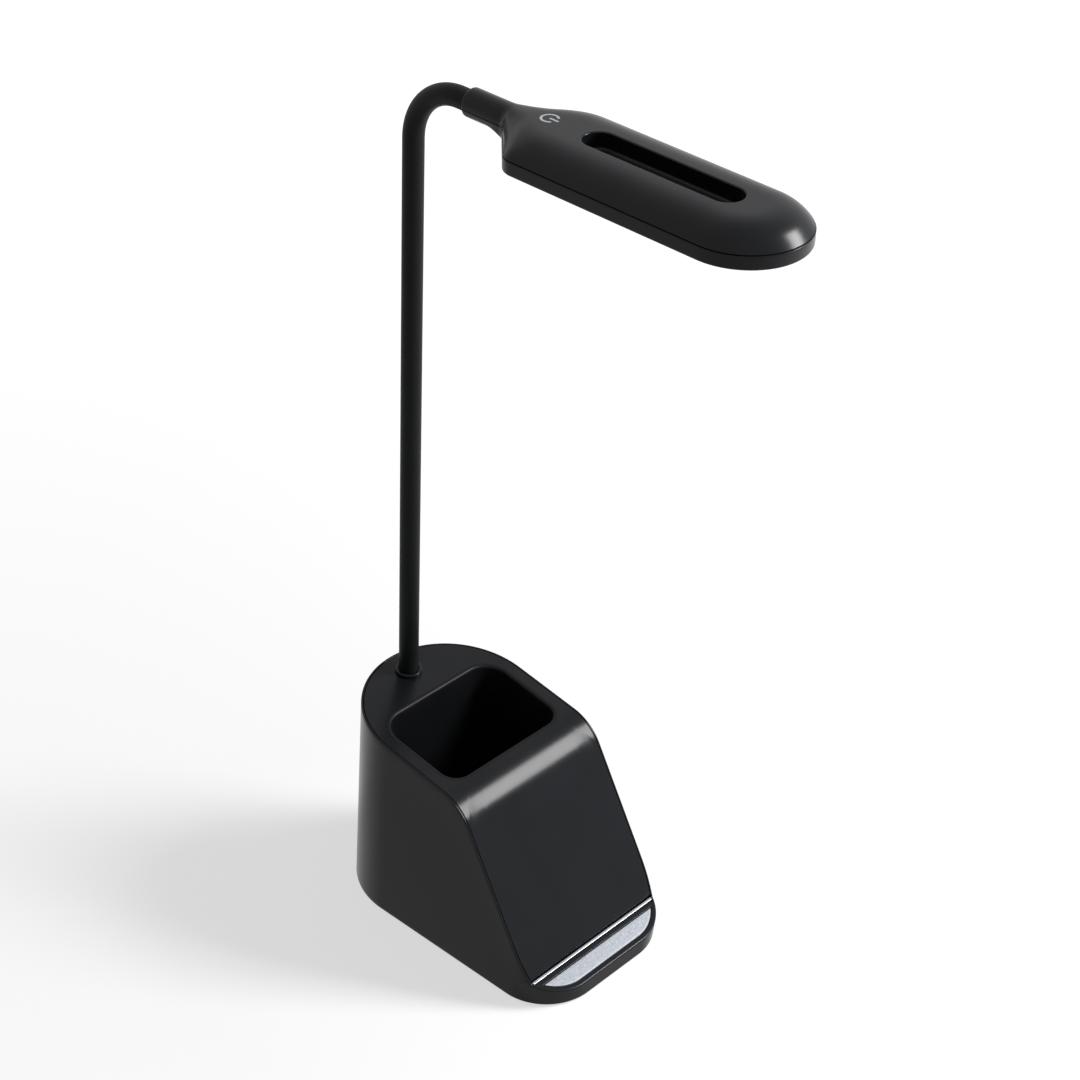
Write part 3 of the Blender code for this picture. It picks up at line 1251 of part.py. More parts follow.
def make_head():
    make_head_shell()
    make_symbol()
    make_head_frame()
    make_diffuser()
    make_led_unit()
    make_touch_switch()
    make_head_lead()


def make_base():
    make_base_shell()
    make_ledge_trim()
    make_top_cover()
    make_pen_cup()
    make_bottom_cover()
    make_foot_pad()
    make_ballast()
    make_battery()
    make_control_board()
    make_usb_inlet()
    make_leads()


TURN_S = neck_joints()[-1][0]
HEAD_PIVOT = pivot("head_pivot", neck_place(TURN_S)[0], HEAD_PITCH)
HEAD_OFFSET = Matrix.Translation((0, -TURN_LEAD, -STUB_AXIS))

make_base()
make_neck_fixing()
make_neck()
make_head()
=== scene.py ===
import json
import math

import bmesh
import bpy
import numpy as np
from mathutils import Matrix, Vector


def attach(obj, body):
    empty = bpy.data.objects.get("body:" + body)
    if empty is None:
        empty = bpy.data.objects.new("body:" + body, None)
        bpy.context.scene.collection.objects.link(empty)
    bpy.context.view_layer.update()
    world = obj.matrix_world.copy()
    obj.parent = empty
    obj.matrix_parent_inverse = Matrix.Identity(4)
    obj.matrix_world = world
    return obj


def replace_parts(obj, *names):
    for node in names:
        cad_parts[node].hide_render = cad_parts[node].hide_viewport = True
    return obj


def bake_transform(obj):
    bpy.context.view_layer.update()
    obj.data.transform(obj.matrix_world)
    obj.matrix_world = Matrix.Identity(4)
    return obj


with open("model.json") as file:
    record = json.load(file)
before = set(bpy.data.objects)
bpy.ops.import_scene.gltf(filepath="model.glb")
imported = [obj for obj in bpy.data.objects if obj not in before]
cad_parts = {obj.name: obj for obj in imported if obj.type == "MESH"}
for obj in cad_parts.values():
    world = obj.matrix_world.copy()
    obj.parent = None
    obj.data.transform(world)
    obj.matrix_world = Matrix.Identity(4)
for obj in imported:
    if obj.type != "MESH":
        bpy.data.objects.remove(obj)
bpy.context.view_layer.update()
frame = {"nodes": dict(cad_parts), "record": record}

# Sizes that the CAD's shapes follow, in metres
GAP = 0.0003
BASE_LENGTH = 0.1493
BASE_WIDTH = 0.0854
SIDE_DRAFT = math.radians(0.365)
REAR_DRAFT = math.radians(4.6)
FLOOR_CORNER = 0.026
LIP_CORNER = 0.022
SKIRT_Z = 0.001
WALL = 0.0022
RIM_WALL = 0.001
LEDGE_DEPTH = 0.0128
LEDGE_HEIGHT = 0.0128
LEDGE_ANGLE = math.radians(19.3)
SLOPE_ANGLE = math.radians(62.3)
TOP_ANGLE = math.radians(9.4)
CORNER_HEIGHT = 0.0912
BEND_RADIUS = 0.0215
STRIP_WIDTH = 0.0015
STRIP_PROUD = 0.0002
GROOVE_WIDTH = 0.001
GROOVE_DEPTH = 0.0009
PAD_SETBACK = 0.0034
PAD_INSET = 0.0027
PAD_DEPTH = 0.0012
CUP_SIDE_MARGIN = 0.0072
CUP_SETBACK = 0.0097
CUP_NECK_MARGIN = 0.0155
CUP_FRONT_CORNER = 0.01
CUP_REAR_CORNER = 0.013
CUP_WALL = 0.0018
CUP_FLOOR_Z = 0.0113
CUP_DRAFT = math.radians(1.2)
USB_WIDTH = 0.009
USB_HEIGHT = 0.0034
USB_DEPTH = 0.0074
USB_Z = 0.0176
USB_RECESS = 0.0004
NECK_RADIUS = 0.0045
NECK_REAR_SETBACK = 0.02045
NECK_LEAN = math.radians(2.66)
NECK_STRAIGHT = 0.2657
NECK_BEND_RADIUS = 0.026
NECK_TAIL = 0.0052
NECK_INSERT = 0.0195
COLLAR_RADIUS = 0.0062
COLLAR_HEIGHT = 0.0016
STEM_HINGES = (0.045, 0.088, 0.131, 0.174, 0.217)
CROWN_HINGES = (0.262, 0.279, 0.296)
TURN_LEAD = 0.0045
HEAD_PITCH = math.radians(1.8)
HEAD_HALF_WIDTH = 0.0255
SHOULDER_U = 0.0225
CORNER_U = 0.042
NOSE_U = 0.1354
SHOULDER_RADIUS = 0.009
STUB_FILLET = 0.005
STUB_RADIUS = 0.006
STUB_AXIS = 0.007
STUB_BORE = 0.0048
STUB_CHAMFER = 0.0012
BAND_HEIGHT = 0.0056
CREST_W = 0.0139
DOME_RUN = 0.0184
EDGE_INSET = 0.0004
SLOT_REAR_U = 0.06
SLOT_FRONT_U = 0.1337
SLOT_HALF_WIDTH = 0.00675
SLOT_FLOOR_W = 0.0069
WINDOW_MARGIN = 0.004
WINDOW_REAR_U = 0.048
WINDOW_CORNER = 0.006
HEAD_SCREW_SPREAD = 0.0112
HEAD_SCREW_U = 0.039
SCREW_HEAD_RADIUS = 0.0025
SCREW_HEAD_HEIGHT = 0.0011
MARK_U = 0.0415
MARK_RADIUS = 0.0038
MARK_STROKE = 0.001
MARK_GAP = math.radians(38)
MARK_BAR = 0.0044
FOOT_PAD_TOP = 0.0009
FOOT_PAD_INSET = 0.003

# What only the fine surfaces have: rounded edges, seams, linings under an opening's wall, and depths
EDGE = 0.0005
LIP = 0.0002
MOUTH_EDGE = 0.0011
HAIRLINE = 0.00004
UNDER = 0.00002
SEAM_DEPTH = 0.0022
RIM_DEPTH = 0.0024
CUP_FILLET = 0.0025
INLET_CORNER = 0.0016
INLET_DEPTH = 0.0035
INLET_REACH = (0.009, 0.006, 0.005)
SOCKET_CORNER = 0.0015
SOCKET_METAL = 0.00035
SOCKET_FLOOR = USB_DEPTH - 0.001
COLLAR_BORE_DEPTH = 0.002
COLLAR_DEPTH = 0.0027
STUB_BORE_DEPTH = 0.0035
LIP_TUCK = 0.0008
TONGUE_INSET = 0.0012
TONGUE_TOP = 0.0063
BAND_FOOT = 0.0008
BAND_LEVELS = (0.0042, 0.003, 0.0019)
RECESS_FILLET = 0.0009
SLOT_REACH = (0.055, 0.01, 0.0137)
WINDOW_TOP = 0.0014
WINDOW_SUNK = 0.00015
WINDOW_REACH_U = 0.044
SCREW_REACH = 0.003
SHARP_ANGLE = math.radians(32)
SAME = 1e-7

# The sleeve's rows, lengths either side of each hinge (looked up but not used), and where the head's shapes
# pass into each other
SLEEVE_START = 0.0002
SLEEVE_STEP = 0.0013
STEM_REACH = 0.014
CROWN_REACH = 0.0068
END_REACH = 0.004
ROUND_END = 0.96
BEND_MARGIN = 0.001
DENSE_STUB_U = 0.012
CREST_EASE = (0.014, 0.04)
SHELL_EASE = (0.016, 0.031)
BAND_EASE = (0.012, 0.027)
HIP_STEPS = np.arange(-7, 8) * 0.001
HIP_REACH = 0.007

FRONT_Y = -BASE_LENGTH / 2
REAR_Y = BASE_LENGTH / 2
FOOT_Y = FRONT_Y + LEDGE_DEPTH
CORNER_Y = FOOT_Y + (CORNER_HEIGHT - LEDGE_HEIGHT) / math.tan(SLOPE_ANGLE)
BEND_REACH = BEND_RADIUS * math.tan((SLOPE_ANGLE - TOP_ANGLE) / 2)
BEND_Y = CORNER_Y - BEND_REACH * math.cos(SLOPE_ANGLE) + BEND_RADIUS * math.sin(SLOPE_ANGLE)
BEND_Z = CORNER_HEIGHT - BEND_REACH * math.sin(SLOPE_ANGLE) - BEND_RADIUS * math.cos(SLOPE_ANGLE)
BEND_START_Y = BEND_Y - BEND_RADIUS * math.sin(SLOPE_ANGLE)
BEND_END_Y = BEND_Y - BEND_RADIUS * math.sin(TOP_ANGLE)
STRIP_FRONT_Y = FOOT_Y - STRIP_WIDTH / 2
STRIP_REAR_Y = FOOT_Y + STRIP_WIDTH / 2 - GAP
GROOVE_Y = STRIP_FRONT_Y - GROOVE_WIDTH
COVER_START_Y = STRIP_REAR_Y + 2 * GAP
PAD_REAR_Y = FOOT_Y - PAD_SETBACK
NECK_Y = REAR_Y - NECK_REAR_SETBACK
NECK_Z = CORNER_HEIGHT + (NECK_Y - CORNER_Y) * math.tan(TOP_ANGLE)
CUP_HALF = BASE_WIDTH / 2 - CUP_SIDE_MARGIN
CUP_FRONT_Y = CORNER_Y + CUP_SETBACK
CUP_REAR_Y = NECK_Y - CUP_NECK_MARGIN
CUP_MOUTH_Z = CORNER_HEIGHT + CUP_SETBACK * math.tan(TOP_ANGLE)
NECK_TURN = math.pi / 2 - NECK_LEAN + HEAD_PITCH
NECK_ARC = NECK_BEND_RADIUS * NECK_TURN
NECK_END = NECK_STRAIGHT + NECK_ARC + NECK_TAIL + NECK_INSERT
TURN_S = NECK_STRAIGHT + NECK_ARC + NECK_TAIL - TURN_LEAD
HINGES = STEM_HINGES + CROWN_HINGES + (TURN_S,)
CROWN_MIDDLE = len(STEM_HINGES) + 1
SLOT_FIRST_U = SLOT_REAR_U + SLOT_HALF_WIDTH
SLOT_LAST_U = SLOT_FRONT_U - SLOT_HALF_WIDTH
WINDOW_HALF = HEAD_HALF_WIDTH - WINDOW_MARGIN
QUARTER_TURN = math.pi / 2


# The base's side view and plan
def ledge(y, depth=0.0):
    """Height of the ledge's plane at y, that deep below it."""
    return LEDGE_HEIGHT - (FOOT_Y - y) * math.tan(LEDGE_ANGLE) - depth / math.cos(LEDGE_ANGLE)


def saddle(y, depth=0.0):
    """Height of the base's upper side at y, that deep below it: ledge, slope, bend and top."""
    y = np.asarray(y, dtype=float)
    radius = BEND_RADIUS - depth
    slope = LEDGE_HEIGHT + (y - FOOT_Y) * math.tan(SLOPE_ANGLE) - depth / math.cos(SLOPE_ANGLE)
    top = CORNER_HEIGHT + (y - CORNER_Y) * math.tan(TOP_ANGLE) - depth / math.cos(TOP_ANGLE)
    bend = BEND_Z + np.sqrt(np.maximum(radius ** 2 - (y - BEND_Y) ** 2, 0))
    before = y < BEND_Y - radius * math.sin(SLOPE_ANGLE)
    after = y > BEND_Y - radius * math.sin(TOP_ANGLE)
    return np.maximum(ledge(y, depth), np.where(before, slope, np.where(after, top, bend)))


def plan_sizes(z, inset):
    """Half width, rear y, front corner radius and front y of the base's outline at a height."""
    half = BASE_WIDTH / 2 - z * math.tan(SIDE_DRAFT) - inset
    rear = REAR_Y - z * math.tan(REAR_DRAFT) - inset
    corner = FLOOR_CORNER + (LIP_CORNER - FLOOR_CORNER) * np.clip(z / LEDGE_HEIGHT, 0, 1) - inset
    return half, rear, corner, FRONT_Y + inset


def outline(turns, z, inset):
    """The base's outline: turns run from 0 at the front middle to 4 at the rear middle, minus on the left."""
    side, t = np.sign(turns), np.abs(turns)
    half, rear, corner, front = plan_sizes(z, inset)
    turn = np.clip(t - 1, 0, 1) * QUARTER_TURN
    sweep = np.clip(t - 3, 0, 1) * QUARTER_TURN
    x = np.where(t < 1, t * (half - corner), half - corner + corner * np.sin(turn))
    x = np.where(t > 3, half * np.cos(sweep), x)
    along = front + corner + (rear - half - front - corner) * (t - 2)
    y = np.where(t < 2, front + corner * (1 - np.cos(turn)), along)
    y = np.where(t > 3, rear - half + half * np.sin(sweep), y)
    return side * x, y


def settled(plan, turns, inset, height, start, rounds=14):
    """Points of an outline that lie at the height of their own place."""
    z = np.full(np.shape(turns), start)
    for _ in range(rounds):
        x, y = plan(turns, z, inset)
        z = height(y)
    return np.stack([x, y, z], axis=-1)


def skin(turns, inset, depth):
    """Points at an inset from the outline and a depth below the upper side."""
    return settled(outline, turns, inset, lambda y: saddle(y, depth), LEDGE_HEIGHT)


def level(turns, inset, z, plan=outline):
    """Points at an inset from an outline, at one height or at one height each."""
    z = np.broadcast_to(z, turns.shape)
    x, y = plan(turns, z, inset)
    return np.stack([x, y, z], axis=-1)


def turns_at(y, inset):
    """The turns, before the rear arc, where the outline on the upper side passes each y."""
    low, high = np.full(np.shape(y), 1.0), np.full(np.shape(y), 3.0)
    for _ in range(40):
        middle = (low + high) / 2
        before = skin(middle, inset, 0)[..., 1] < y
        low, high = np.where(before, middle, low), np.where(before, high, middle)
    return low


def turn_at(y, inset):
    return float(turns_at(np.array([y]), inset)[0])


def cup_outline(turns, z, inset):
    """The cup's outline: turns run from 0 at its front middle to 5 at its rear middle, minus on the left."""
    side, t = np.sign(turns), np.abs(turns)
    draft = (CUP_MOUTH_Z - z) * math.tan(CUP_DRAFT) + inset
    half, front, rear = CUP_HALF - draft, CUP_FRONT_Y + draft, CUP_REAR_Y - draft
    first, last = CUP_FRONT_CORNER - draft, CUP_REAR_CORNER - draft
    turn, sweep = np.clip(t - 1, 0, 1) * QUARTER_TURN, np.clip(t - 3, 0, 1) * QUARTER_TURN
    x = np.where(t < 1, t * (half - first), half - first * (1 - np.sin(turn)))
    x = np.where(t > 3, half - last * (1 - np.cos(sweep)), x)
    x = np.where(t > 4, (5 - t) * (half - last), x)
    along = front + first + (rear - last - front - first) * (t - 2)
    y = np.where(t < 2, front + first * (1 - np.cos(turn)), along)
    y = np.where(t > 3, rear - last * (1 - np.sin(sweep)), y)
    return side * x, y


def cup_skin(turns, inset, depth):
    """Points at an inset from the cup's outline and a depth below the upper side."""
    return settled(cup_outline, turns, inset, lambda y: saddle(y, depth), CORNER_HEIGHT, 10)


def quarter(radius, steps=5):
    """A quarter round, from (0, radius) to (radius, 0)."""
    turns = np.linspace(0, QUARTER_TURN, steps + 1)
    return [(radius * (1 - math.cos(turn)), radius * (1 - math.sin(turn))) for turn in turns]


def polar(radius, turns, a=0, b=0):
    """Points round a centre, as (a, b)."""
    return [(a + radius * math.cos(turn), b + radius * math.sin(turn)) for turn in turns]


def full_ring(half):
    """Turns once round an outline, from those of one half."""
    return np.concatenate([half, -half[-2:0:-1]])


def spaced(stops, counts):
    """Values from the first stop to the last, in so many even steps between each two."""
    spans = [np.linspace(low, high, count + 1)[1:] for low, high, count in zip(stops, stops[1:], counts)]
    return np.concatenate([stops[:1]] + spans)


# Mesh making
def add_object(name, data):
    made = bpy.data.objects.new(name, data)
    bpy.context.scene.collection.objects.link(made)
    return made


def mesh_object(name, bm, look, at=None):
    """An object from a mesh, moved to its place."""
    if at:
        bmesh.ops.transform(bm, matrix=at, verts=bm.verts)
    mesh = bpy.data.meshes.new(name)
    bm.to_mesh(mesh)
    bm.free()
    mesh.shade_smooth()
    mesh.materials.append(look)
    return add_object(name, mesh)


def weld(bm):
    bmesh.ops.remove_doubles(bm, verts=bm.verts, dist=SAME)


def finish_mesh(name, bm, look, body, inside=False, at=None):
    """Weld a mesh, turn its faces outwards, shade it, and let it ride on its body."""
    weld(bm)
    bmesh.ops.dissolve_degenerate(bm, edges=bm.edges, dist=SAME)
    bmesh.ops.recalc_face_normals(bm, faces=bm.faces)
    faces = [(face.calc_center_median(), face.calc_area(), face.normal) for face in bm.faces]
    middle = sum((place * area for place, area, _ in faces), Vector()) / sum(area for _, area, _ in faces)
    facing = sum(normal.dot(place - middle) * area for place, area, normal in faces)
    if (facing < 0) != inside:
        bmesh.ops.reverse_faces(bm, faces=bm.faces)
    piece = mesh_object(name, bm, look, at)
    piece.data.set_sharp_from_angle(angle=SHARP_ANGLE)
    if body:
        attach(piece, body)
    return piece


def add_rows(bm, rows, ring=False, cap=False):
    """Faces through rows of points. A ring's rows close on themselves, and a cap fills the last row."""
    lines = [[bm.verts.new(tuple(map(float, point))) for point in row] for row in rows]
    for lower, upper in zip(lines, lines[1:]):
        for index in range(len(lower) - (not ring)):
            after = (index + 1) % len(lower)
            bm.faces.new((lower[index], lower[after], upper[after], upper[index]))
    if cap:
        bm.faces.new(lines[-1])


def surface(name, rows, look, body, ring=True, cap=False, **more):
    """Faces through rows, which close on themselves unless ring is off."""
    bm = bmesh.new()
    add_rows(bm, rows, ring, cap)
    return finish_mesh(name, bm, look, body, **more)


def turned(name, profile, place, look, body, steps=64, **more):
    """A profile of (radius, height) turned about its place's Z axis."""
    turns = np.linspace(0, math.tau, steps, endpoint=False)
    rows = [[(x, y, height) for x, y in polar(radius, turns)] for radius, height in profile]
    return surface(name, rows, look, body, at=place, **more)


def open_hole(bm, plan, edge, lift):
    """Cut a hole. plan gives a vertex's place on the surface or None, edge how far a place is outside the
    hole, and lift the surface's point at a place."""
    near = {vert: spot for vert in bm.verts if (spot := plan(vert.co)) is not None}
    gone = [face for face in bm.faces if all(vert in near for vert in face.verts)
            and edge(*np.mean([near[vert] for vert in face.verts], axis=0)) < 0]
    open_before = {vert for vert in near if vert.is_boundary}
    bmesh.ops.delete(bm, geom=gone, context="FACES")
    step = 1e-6
    for vert, (a, b) in near.items():
        if not vert.is_valid or vert in open_before or not vert.is_boundary:
            continue
        for _ in range(3):
            away = edge(a, b)
            slope = ((edge(a + step, b) - away) / step, (edge(a, b + step) - away) / step)
            a, b = a - away * slope[0], b - away * slope[1]
        vert.co = lift(a, b)


def outside_corner(over_a, over_b, radius):
    """How far outside a rounded corner, from how far past its centre each way."""
    return math.hypot(max(over_a, 0), max(over_b, 0)) + min(max(over_a, over_b), 0) - radius


def rounded_edge(a, b, half_a, half_b, radius):
    """How far (a, b) is outside a rectangle with rounded corners about the origin."""
    return outside_corner(abs(a) - half_a + radius, abs(b) - half_b + radius, radius)


def rounded_ring(half_a, half_b, radius, steps=8, spread=6):
    """The outline of a rectangle with rounded corners, as (a, b) points."""
    points = []
    for corner, (sign_a, sign_b) in enumerate(((1, 1), (-1, 1), (-1, -1), (1, -1))):
        turns = np.linspace(0, QUARTER_TURN, steps + 1) + corner * QUARTER_TURN
        points += polar(radius, turns, sign_a * (half_a - radius), sign_b * (half_b - radius))
    ring = []
    for index, (a, b) in enumerate(points):
        next_a, next_b = points[(index + 1) % len(points)]
        count = spread if index % (steps + 1) == steps else 1
        ring += [(a + (next_a - a) * k / count, b + (next_b - b) * k / count) for k in range(count)]
    return ring


# Shader node groups that several finishes share
def node_group(name, inputs, outputs):
    group = bpy.data.node_groups.new(name, "ShaderNodeTree")
    for label, value in inputs:
        socket = group.interface.new_socket(name=label, in_out="INPUT", socket_type="NodeSocketFloat")
        socket.default_value = value
    for label, kind in outputs:
        group.interface.new_socket(name=label, in_out="OUTPUT", socket_type=kind)
    return group, group.nodes.new("NodeGroupInput"), group.nodes.new("NodeGroupOutput")


def add_node(tree, kind):
    return tree.nodes.new("ShaderNode" + kind)


def object_place(tree):
    return add_node(tree, "TexCoord").outputs["Object"]


def put(tree, value, socket):
    """Set a socket to a number, or link it to another socket."""
    if isinstance(value, (int, float)):
        socket.default_value = value
    else:
        tree.links.new(value, socket)


def noise(tree, scale, detail, place):
    node = add_node(tree, "TexNoise")
    node.inputs["Detail"].default_value = detail
    put(tree, scale, node.inputs["Scale"])
    put(tree, place, node.inputs["Vector"])
    return node.outputs["Fac"]


def maths(tree, operation, first, second, clamp=False):
    node = add_node(tree, "Math")
    node.operation = operation
    node.use_clamp = clamp
    put(tree, first, node.inputs[0])
    put(tree, second, node.inputs[1])
    return node.outputs[0]


def ranged(tree, value, low, high):
    node = add_node(tree, "MapRange")
    put(tree, value, node.inputs["Value"])
    put(tree, low, node.inputs["From Min"])
    put(tree, high, node.inputs["From Max"])
    return node.outputs["Result"]


def make_grain_group():
    """Moulded grain: a roughness that drifts a little, and a shallow relief."""
    group, given, made = node_group(
        "moulded_grain", [("Scale", 2000.0), ("Relief", 0.00001), ("Roughness", 0.4), ("Drift", 0.05)],
        [("Roughness", "NodeSocketFloat"), ("Normal", "NodeSocketVector")])
    place = object_place(group)
    fine = noise(group, given.outputs["Scale"], 3.0, place)
    broad = noise(group, maths(group, "MULTIPLY", given.outputs["Scale"], 0.02), 2.0, place)
    drift = maths(group, "MULTIPLY", maths(group, "SUBTRACT", broad, 0.5), given.outputs["Drift"])
    put(group, maths(group, "ADD", drift, given.outputs["Roughness"]), made.inputs["Roughness"])
    bump = add_node(group, "Bump")
    put(group, fine, bump.inputs["Height"])
    put(group, given.outputs["Relief"], bump.inputs["Distance"])
    put(group, bump.outputs["Normal"], made.inputs["Normal"])
    return group


def make_wear_group():
    """Where edges are rubbed: raised places, broken up."""
    group, given, made = node_group("edge_wear", [("Amount", 0.3)], [("Mask", "NodeSocketFloat")])
    ridge = ranged(group, add_node(group, "NewGeometry").outputs["Pointiness"], 0.52, 0.62)
    place = object_place(group)
    broken = ranged(group, noise(group, 260.0, 4.0, place), 0.35, 0.75)
    mask = maths(group, "MULTIPLY", ridge, broken)
    put(group, maths(group, "MULTIPLY", mask, given.outputs["Amount"], clamp=True), made.inputs["Mask"])
    return group


def make_dust_group():
    """A thin film of dust on what faces up."""
    group, given, made = node_group("settled_dust", [("Amount", 0.1)], [("Mask", "NodeSocketFloat")])
    place = add_node(group, "TexCoord")
    split = add_node(group, "SeparateXYZ")
    put(group, place.outputs["Normal"], split.inputs[0])
    up = ranged(group, split.outputs["Z"], 0.3, 1.0)
    cloud = ranged(group, noise(group, 55.0, 5.0, place.outputs["Object"]), 0.3, 0.8)
    mask = maths(group, "MULTIPLY", up, cloud)
    put(group, maths(group, "MULTIPLY", mask, given.outputs["Amount"], clamp=True), made.inputs["Mask"])
    return group


def make_tone_group():
    """A slow drift between two tones."""
    group, given, made = node_group("tone_drift", [("Scale", 40.0)], [("Mask", "NodeSocketFloat")])
    place = object_place(group)
    put(group, ranged(group, noise(group, given.outputs["Scale"], 3.0, place), 0.3, 0.7), made.inputs["Mask"])
    return group


DUST_TONE = (0.3, 0.29, 0.27)
GRAIN = make_grain_group()
WEAR = make_wear_group()
DUST = make_dust_group()
TONE = make_tone_group()


def set_inputs(node, **values):
    for label, value in values.items():
        node.inputs[label.replace("_", " ")].default_value = value


def use_group(tree, group, **values):
    node = add_node(tree, "Group")
    node.node_tree = group
    set_inputs(node, **values)
    return node


def mix_tones(tree, share, first, second):
    """Two tones, mixed by a mask group."""
    node = add_node(tree, "Mix")
    node.data_type = "RGBA"
    put(tree, share.outputs["Mask"], node.inputs["Factor"])
    for socket, value in ((node.inputs["A"], first), (node.inputs["B"], second)):
        if isinstance(value, tuple):
            socket.default_value = (*value, 1.0)
        else:
            put(tree, value, socket)
    return node.outputs["Result"]


def new_material(name):
    made = bpy.data.materials.new(name)
    made.use_nodes = True
    return made, made.node_tree, made.node_tree.nodes["Principled BSDF"]


def make_finish(name, tone, other_tone, roughness, grain=2000, relief=1e-5, drift=0.05, wear=0.0,
                wear_tone=(0.1, 0.1, 0.1), dust=0.0, clouds=40, **constants):
    """A finish with two close tones, grain, rubbed edges and a film of dust."""
    made, tree, shader = new_material(name)
    colour = mix_tones(tree, use_group(tree, TONE, Scale=clouds), tone, other_tone)
    if wear:
        colour = mix_tones(tree, use_group(tree, WEAR, Amount=wear), colour, wear_tone)
    if dust:
        colour = mix_tones(tree, use_group(tree, DUST, Amount=dust), colour, DUST_TONE)
    put(tree, colour, shader.inputs["Base Color"])
    grained = use_group(tree, GRAIN, Scale=grain, Relief=relief, Roughness=roughness, Drift=drift)
    put(tree, grained.outputs["Roughness"], shader.inputs["Roughness"])
    put(tree, grained.outputs["Normal"], shader.inputs["Normal"])
    set_inputs(shader, **constants)
    return made


SATIN = make_finish("satin_black_shell", (0.0038, 0.0043, 0.0062), (0.005, 0.0056, 0.0078), 0.24, grain=2600,
    relief=4e-6, wear=0.2, wear_tone=(0.014, 0.014, 0.017), dust=0.012, Specular_IOR_Level=0.16)
CUP_BLACK = make_finish("matt_black_cup", (0.003, 0.0032, 0.0038), (0.0042, 0.0044, 0.005), 0.42,
    grain=1800, relief=6e-6, wear=0.2, wear_tone=(0.012, 0.012, 0.012), Specular_IOR_Level=0.12)
INNER = make_finish("moulded_black_inside", (0.01, 0.01, 0.011), (0.014, 0.014, 0.015), 0.55, grain=1500,
    wear=0.4, Specular_IOR_Level=0.3)
# The long recess's floor: the shell's black plastic painted lighter, as painted light standing in for the
# light that the recess's walls shade off it.
RECESS_PAINTED_LIGHT = make_finish("recess_floor_painted_light", (0.018, 0.0185, 0.02), (0.024, 0.0245, 0.027), 0.45, grain=2600,
    relief=4e-6, Specular_IOR_Level=0.2)
SILICONE = make_finish("black_silicone", (0.0045, 0.005, 0.0052), (0.006, 0.0066, 0.0068), 0.5, grain=3400,
    relief=5e-6, drift=0.08, dust=0.02, Specular_IOR_Level=0.1)
RUBBER = make_finish("foot_rubber", (0.012, 0.012, 0.012), (0.018, 0.018, 0.018), 0.72, grain=900,
    relief=3e-5, wear=0.5, wear_tone=(0.05, 0.05, 0.05), Specular_IOR_Level=0.3)
CHROME = make_finish("bright_trim", (0.25, 0.26, 0.28), (0.3, 0.31, 0.33), 0.34, grain=900, relief=1e-6,
    drift=0.04, Metallic=1.0)
SILVER = make_finish("silver_satin_pad", (0.29, 0.31, 0.35), (0.41, 0.43, 0.47), 0.46, grain=2400,
    relief=3e-5, drift=0.1, wear=0.3, wear_tone=(0.5, 0.5, 0.52), clouds=900, Metallic=0.2)
STEEL = make_finish("plated_steel", (0.5, 0.5, 0.51), (0.6, 0.6, 0.6), 0.3, grain=1600, relief=6e-6,
    drift=0.12, wear=0.4, wear_tone=(0.75, 0.75, 0.74), Metallic=1.0)
OPAL = make_finish("opal_window", (0.8, 0.8, 0.78), (0.84, 0.84, 0.82), 0.42, grain=1400,
    Subsurface_Weight=0.25, Subsurface_Scale=0.002)
PRINT = make_finish("pale_print", (0.4, 0.42, 0.45), (0.48, 0.5, 0.53), 0.55, grain=3000, relief=4e-6)
GREEN = make_finish("green_board", (0.015, 0.13, 0.055), (0.03, 0.2, 0.09), 0.38, grain=700, clouds=600,
    Coat_Weight=0.4, Coat_Roughness=0.2)
WHITE_BOARD = make_finish("white_board", (0.72, 0.72, 0.7), (0.8, 0.8, 0.78), 0.4, grain=900)
WRAP = make_finish("cell_wrap", (0.04, 0.15, 0.38), (0.05, 0.19, 0.45), 0.3, grain=500, dust=0.1)
LEAD = make_finish("grey_lead", (0.06, 0.06, 0.06), (0.09, 0.09, 0.09), 0.5)
COPPER = make_finish("copper_sheet", (0.66, 0.31, 0.16), (0.76, 0.4, 0.22), 0.32, grain=1400, drift=0.15,
    Metallic=1.0)
SLOT_FINISH = {"body_plastic": SATIN, "inner_plastic": INNER, "neck_silicone": SILICONE,
    "chrome_trim": CHROME, "silver_pad": SILVER, "steel": STEEL, "opal_plastic": OPAL, "green_board": GREEN,
    "white_board": WHITE_BOARD, "cell_wrap": WRAP, "lead_sheath": LEAD, "copper": COPPER, "pale_print": PRINT}


def dress_cad_nodes():
    """Give every carried-over CAD node the finish of its slot."""
    for part in frame["record"]["subparts"]:
        node = frame["nodes"][part["node"]]
        look = SLOT_FINISH[part["material_slot"]]
        if not node.material_slots:
            node.data.materials.append(look)
        for slot in node.material_slots:
            slot.material = look


# Base
def wall_turns():
    """Turns of half the outline before and behind the groove, denser at the corners, bend and inlet."""
    places = (GROOVE_Y, BEND_START_Y - BEND_MARGIN, BEND_END_Y + BEND_MARGIN)
    groove, bend_start, bend_end = (turn_at(y, RIM_WALL - LIP) for y in places)
    front = spaced((0, 1, groove), (8, 36))
    back = spaced((groove, 2, bend_start, bend_end, 3, 3.88, 4), (24, 14, 28, 24, 40, 16))
    return front, back


def wall_point(x, z, sunk=0.0):
    """A point of the rear wall, at a depth below it."""
    half, rear = plan_sizes(z, sunk)[:2]
    return Vector((x, rear - half + math.sqrt(half ** 2 - x ** 2), z))


def inlet_plan(point):
    x, y, z = INLET_REACH
    near = point.y > REAR_Y - y and abs(point.x) < x and abs(point.z - USB_Z) < z
    return (point.x, point.z) if near else None


def inlet_edge(x, z):
    spread = GAP + EDGE + GAP
    return rounded_edge(x, z - USB_Z, USB_WIDTH / 2 + spread, USB_HEIGHT / 2 + spread, INLET_CORNER + spread)


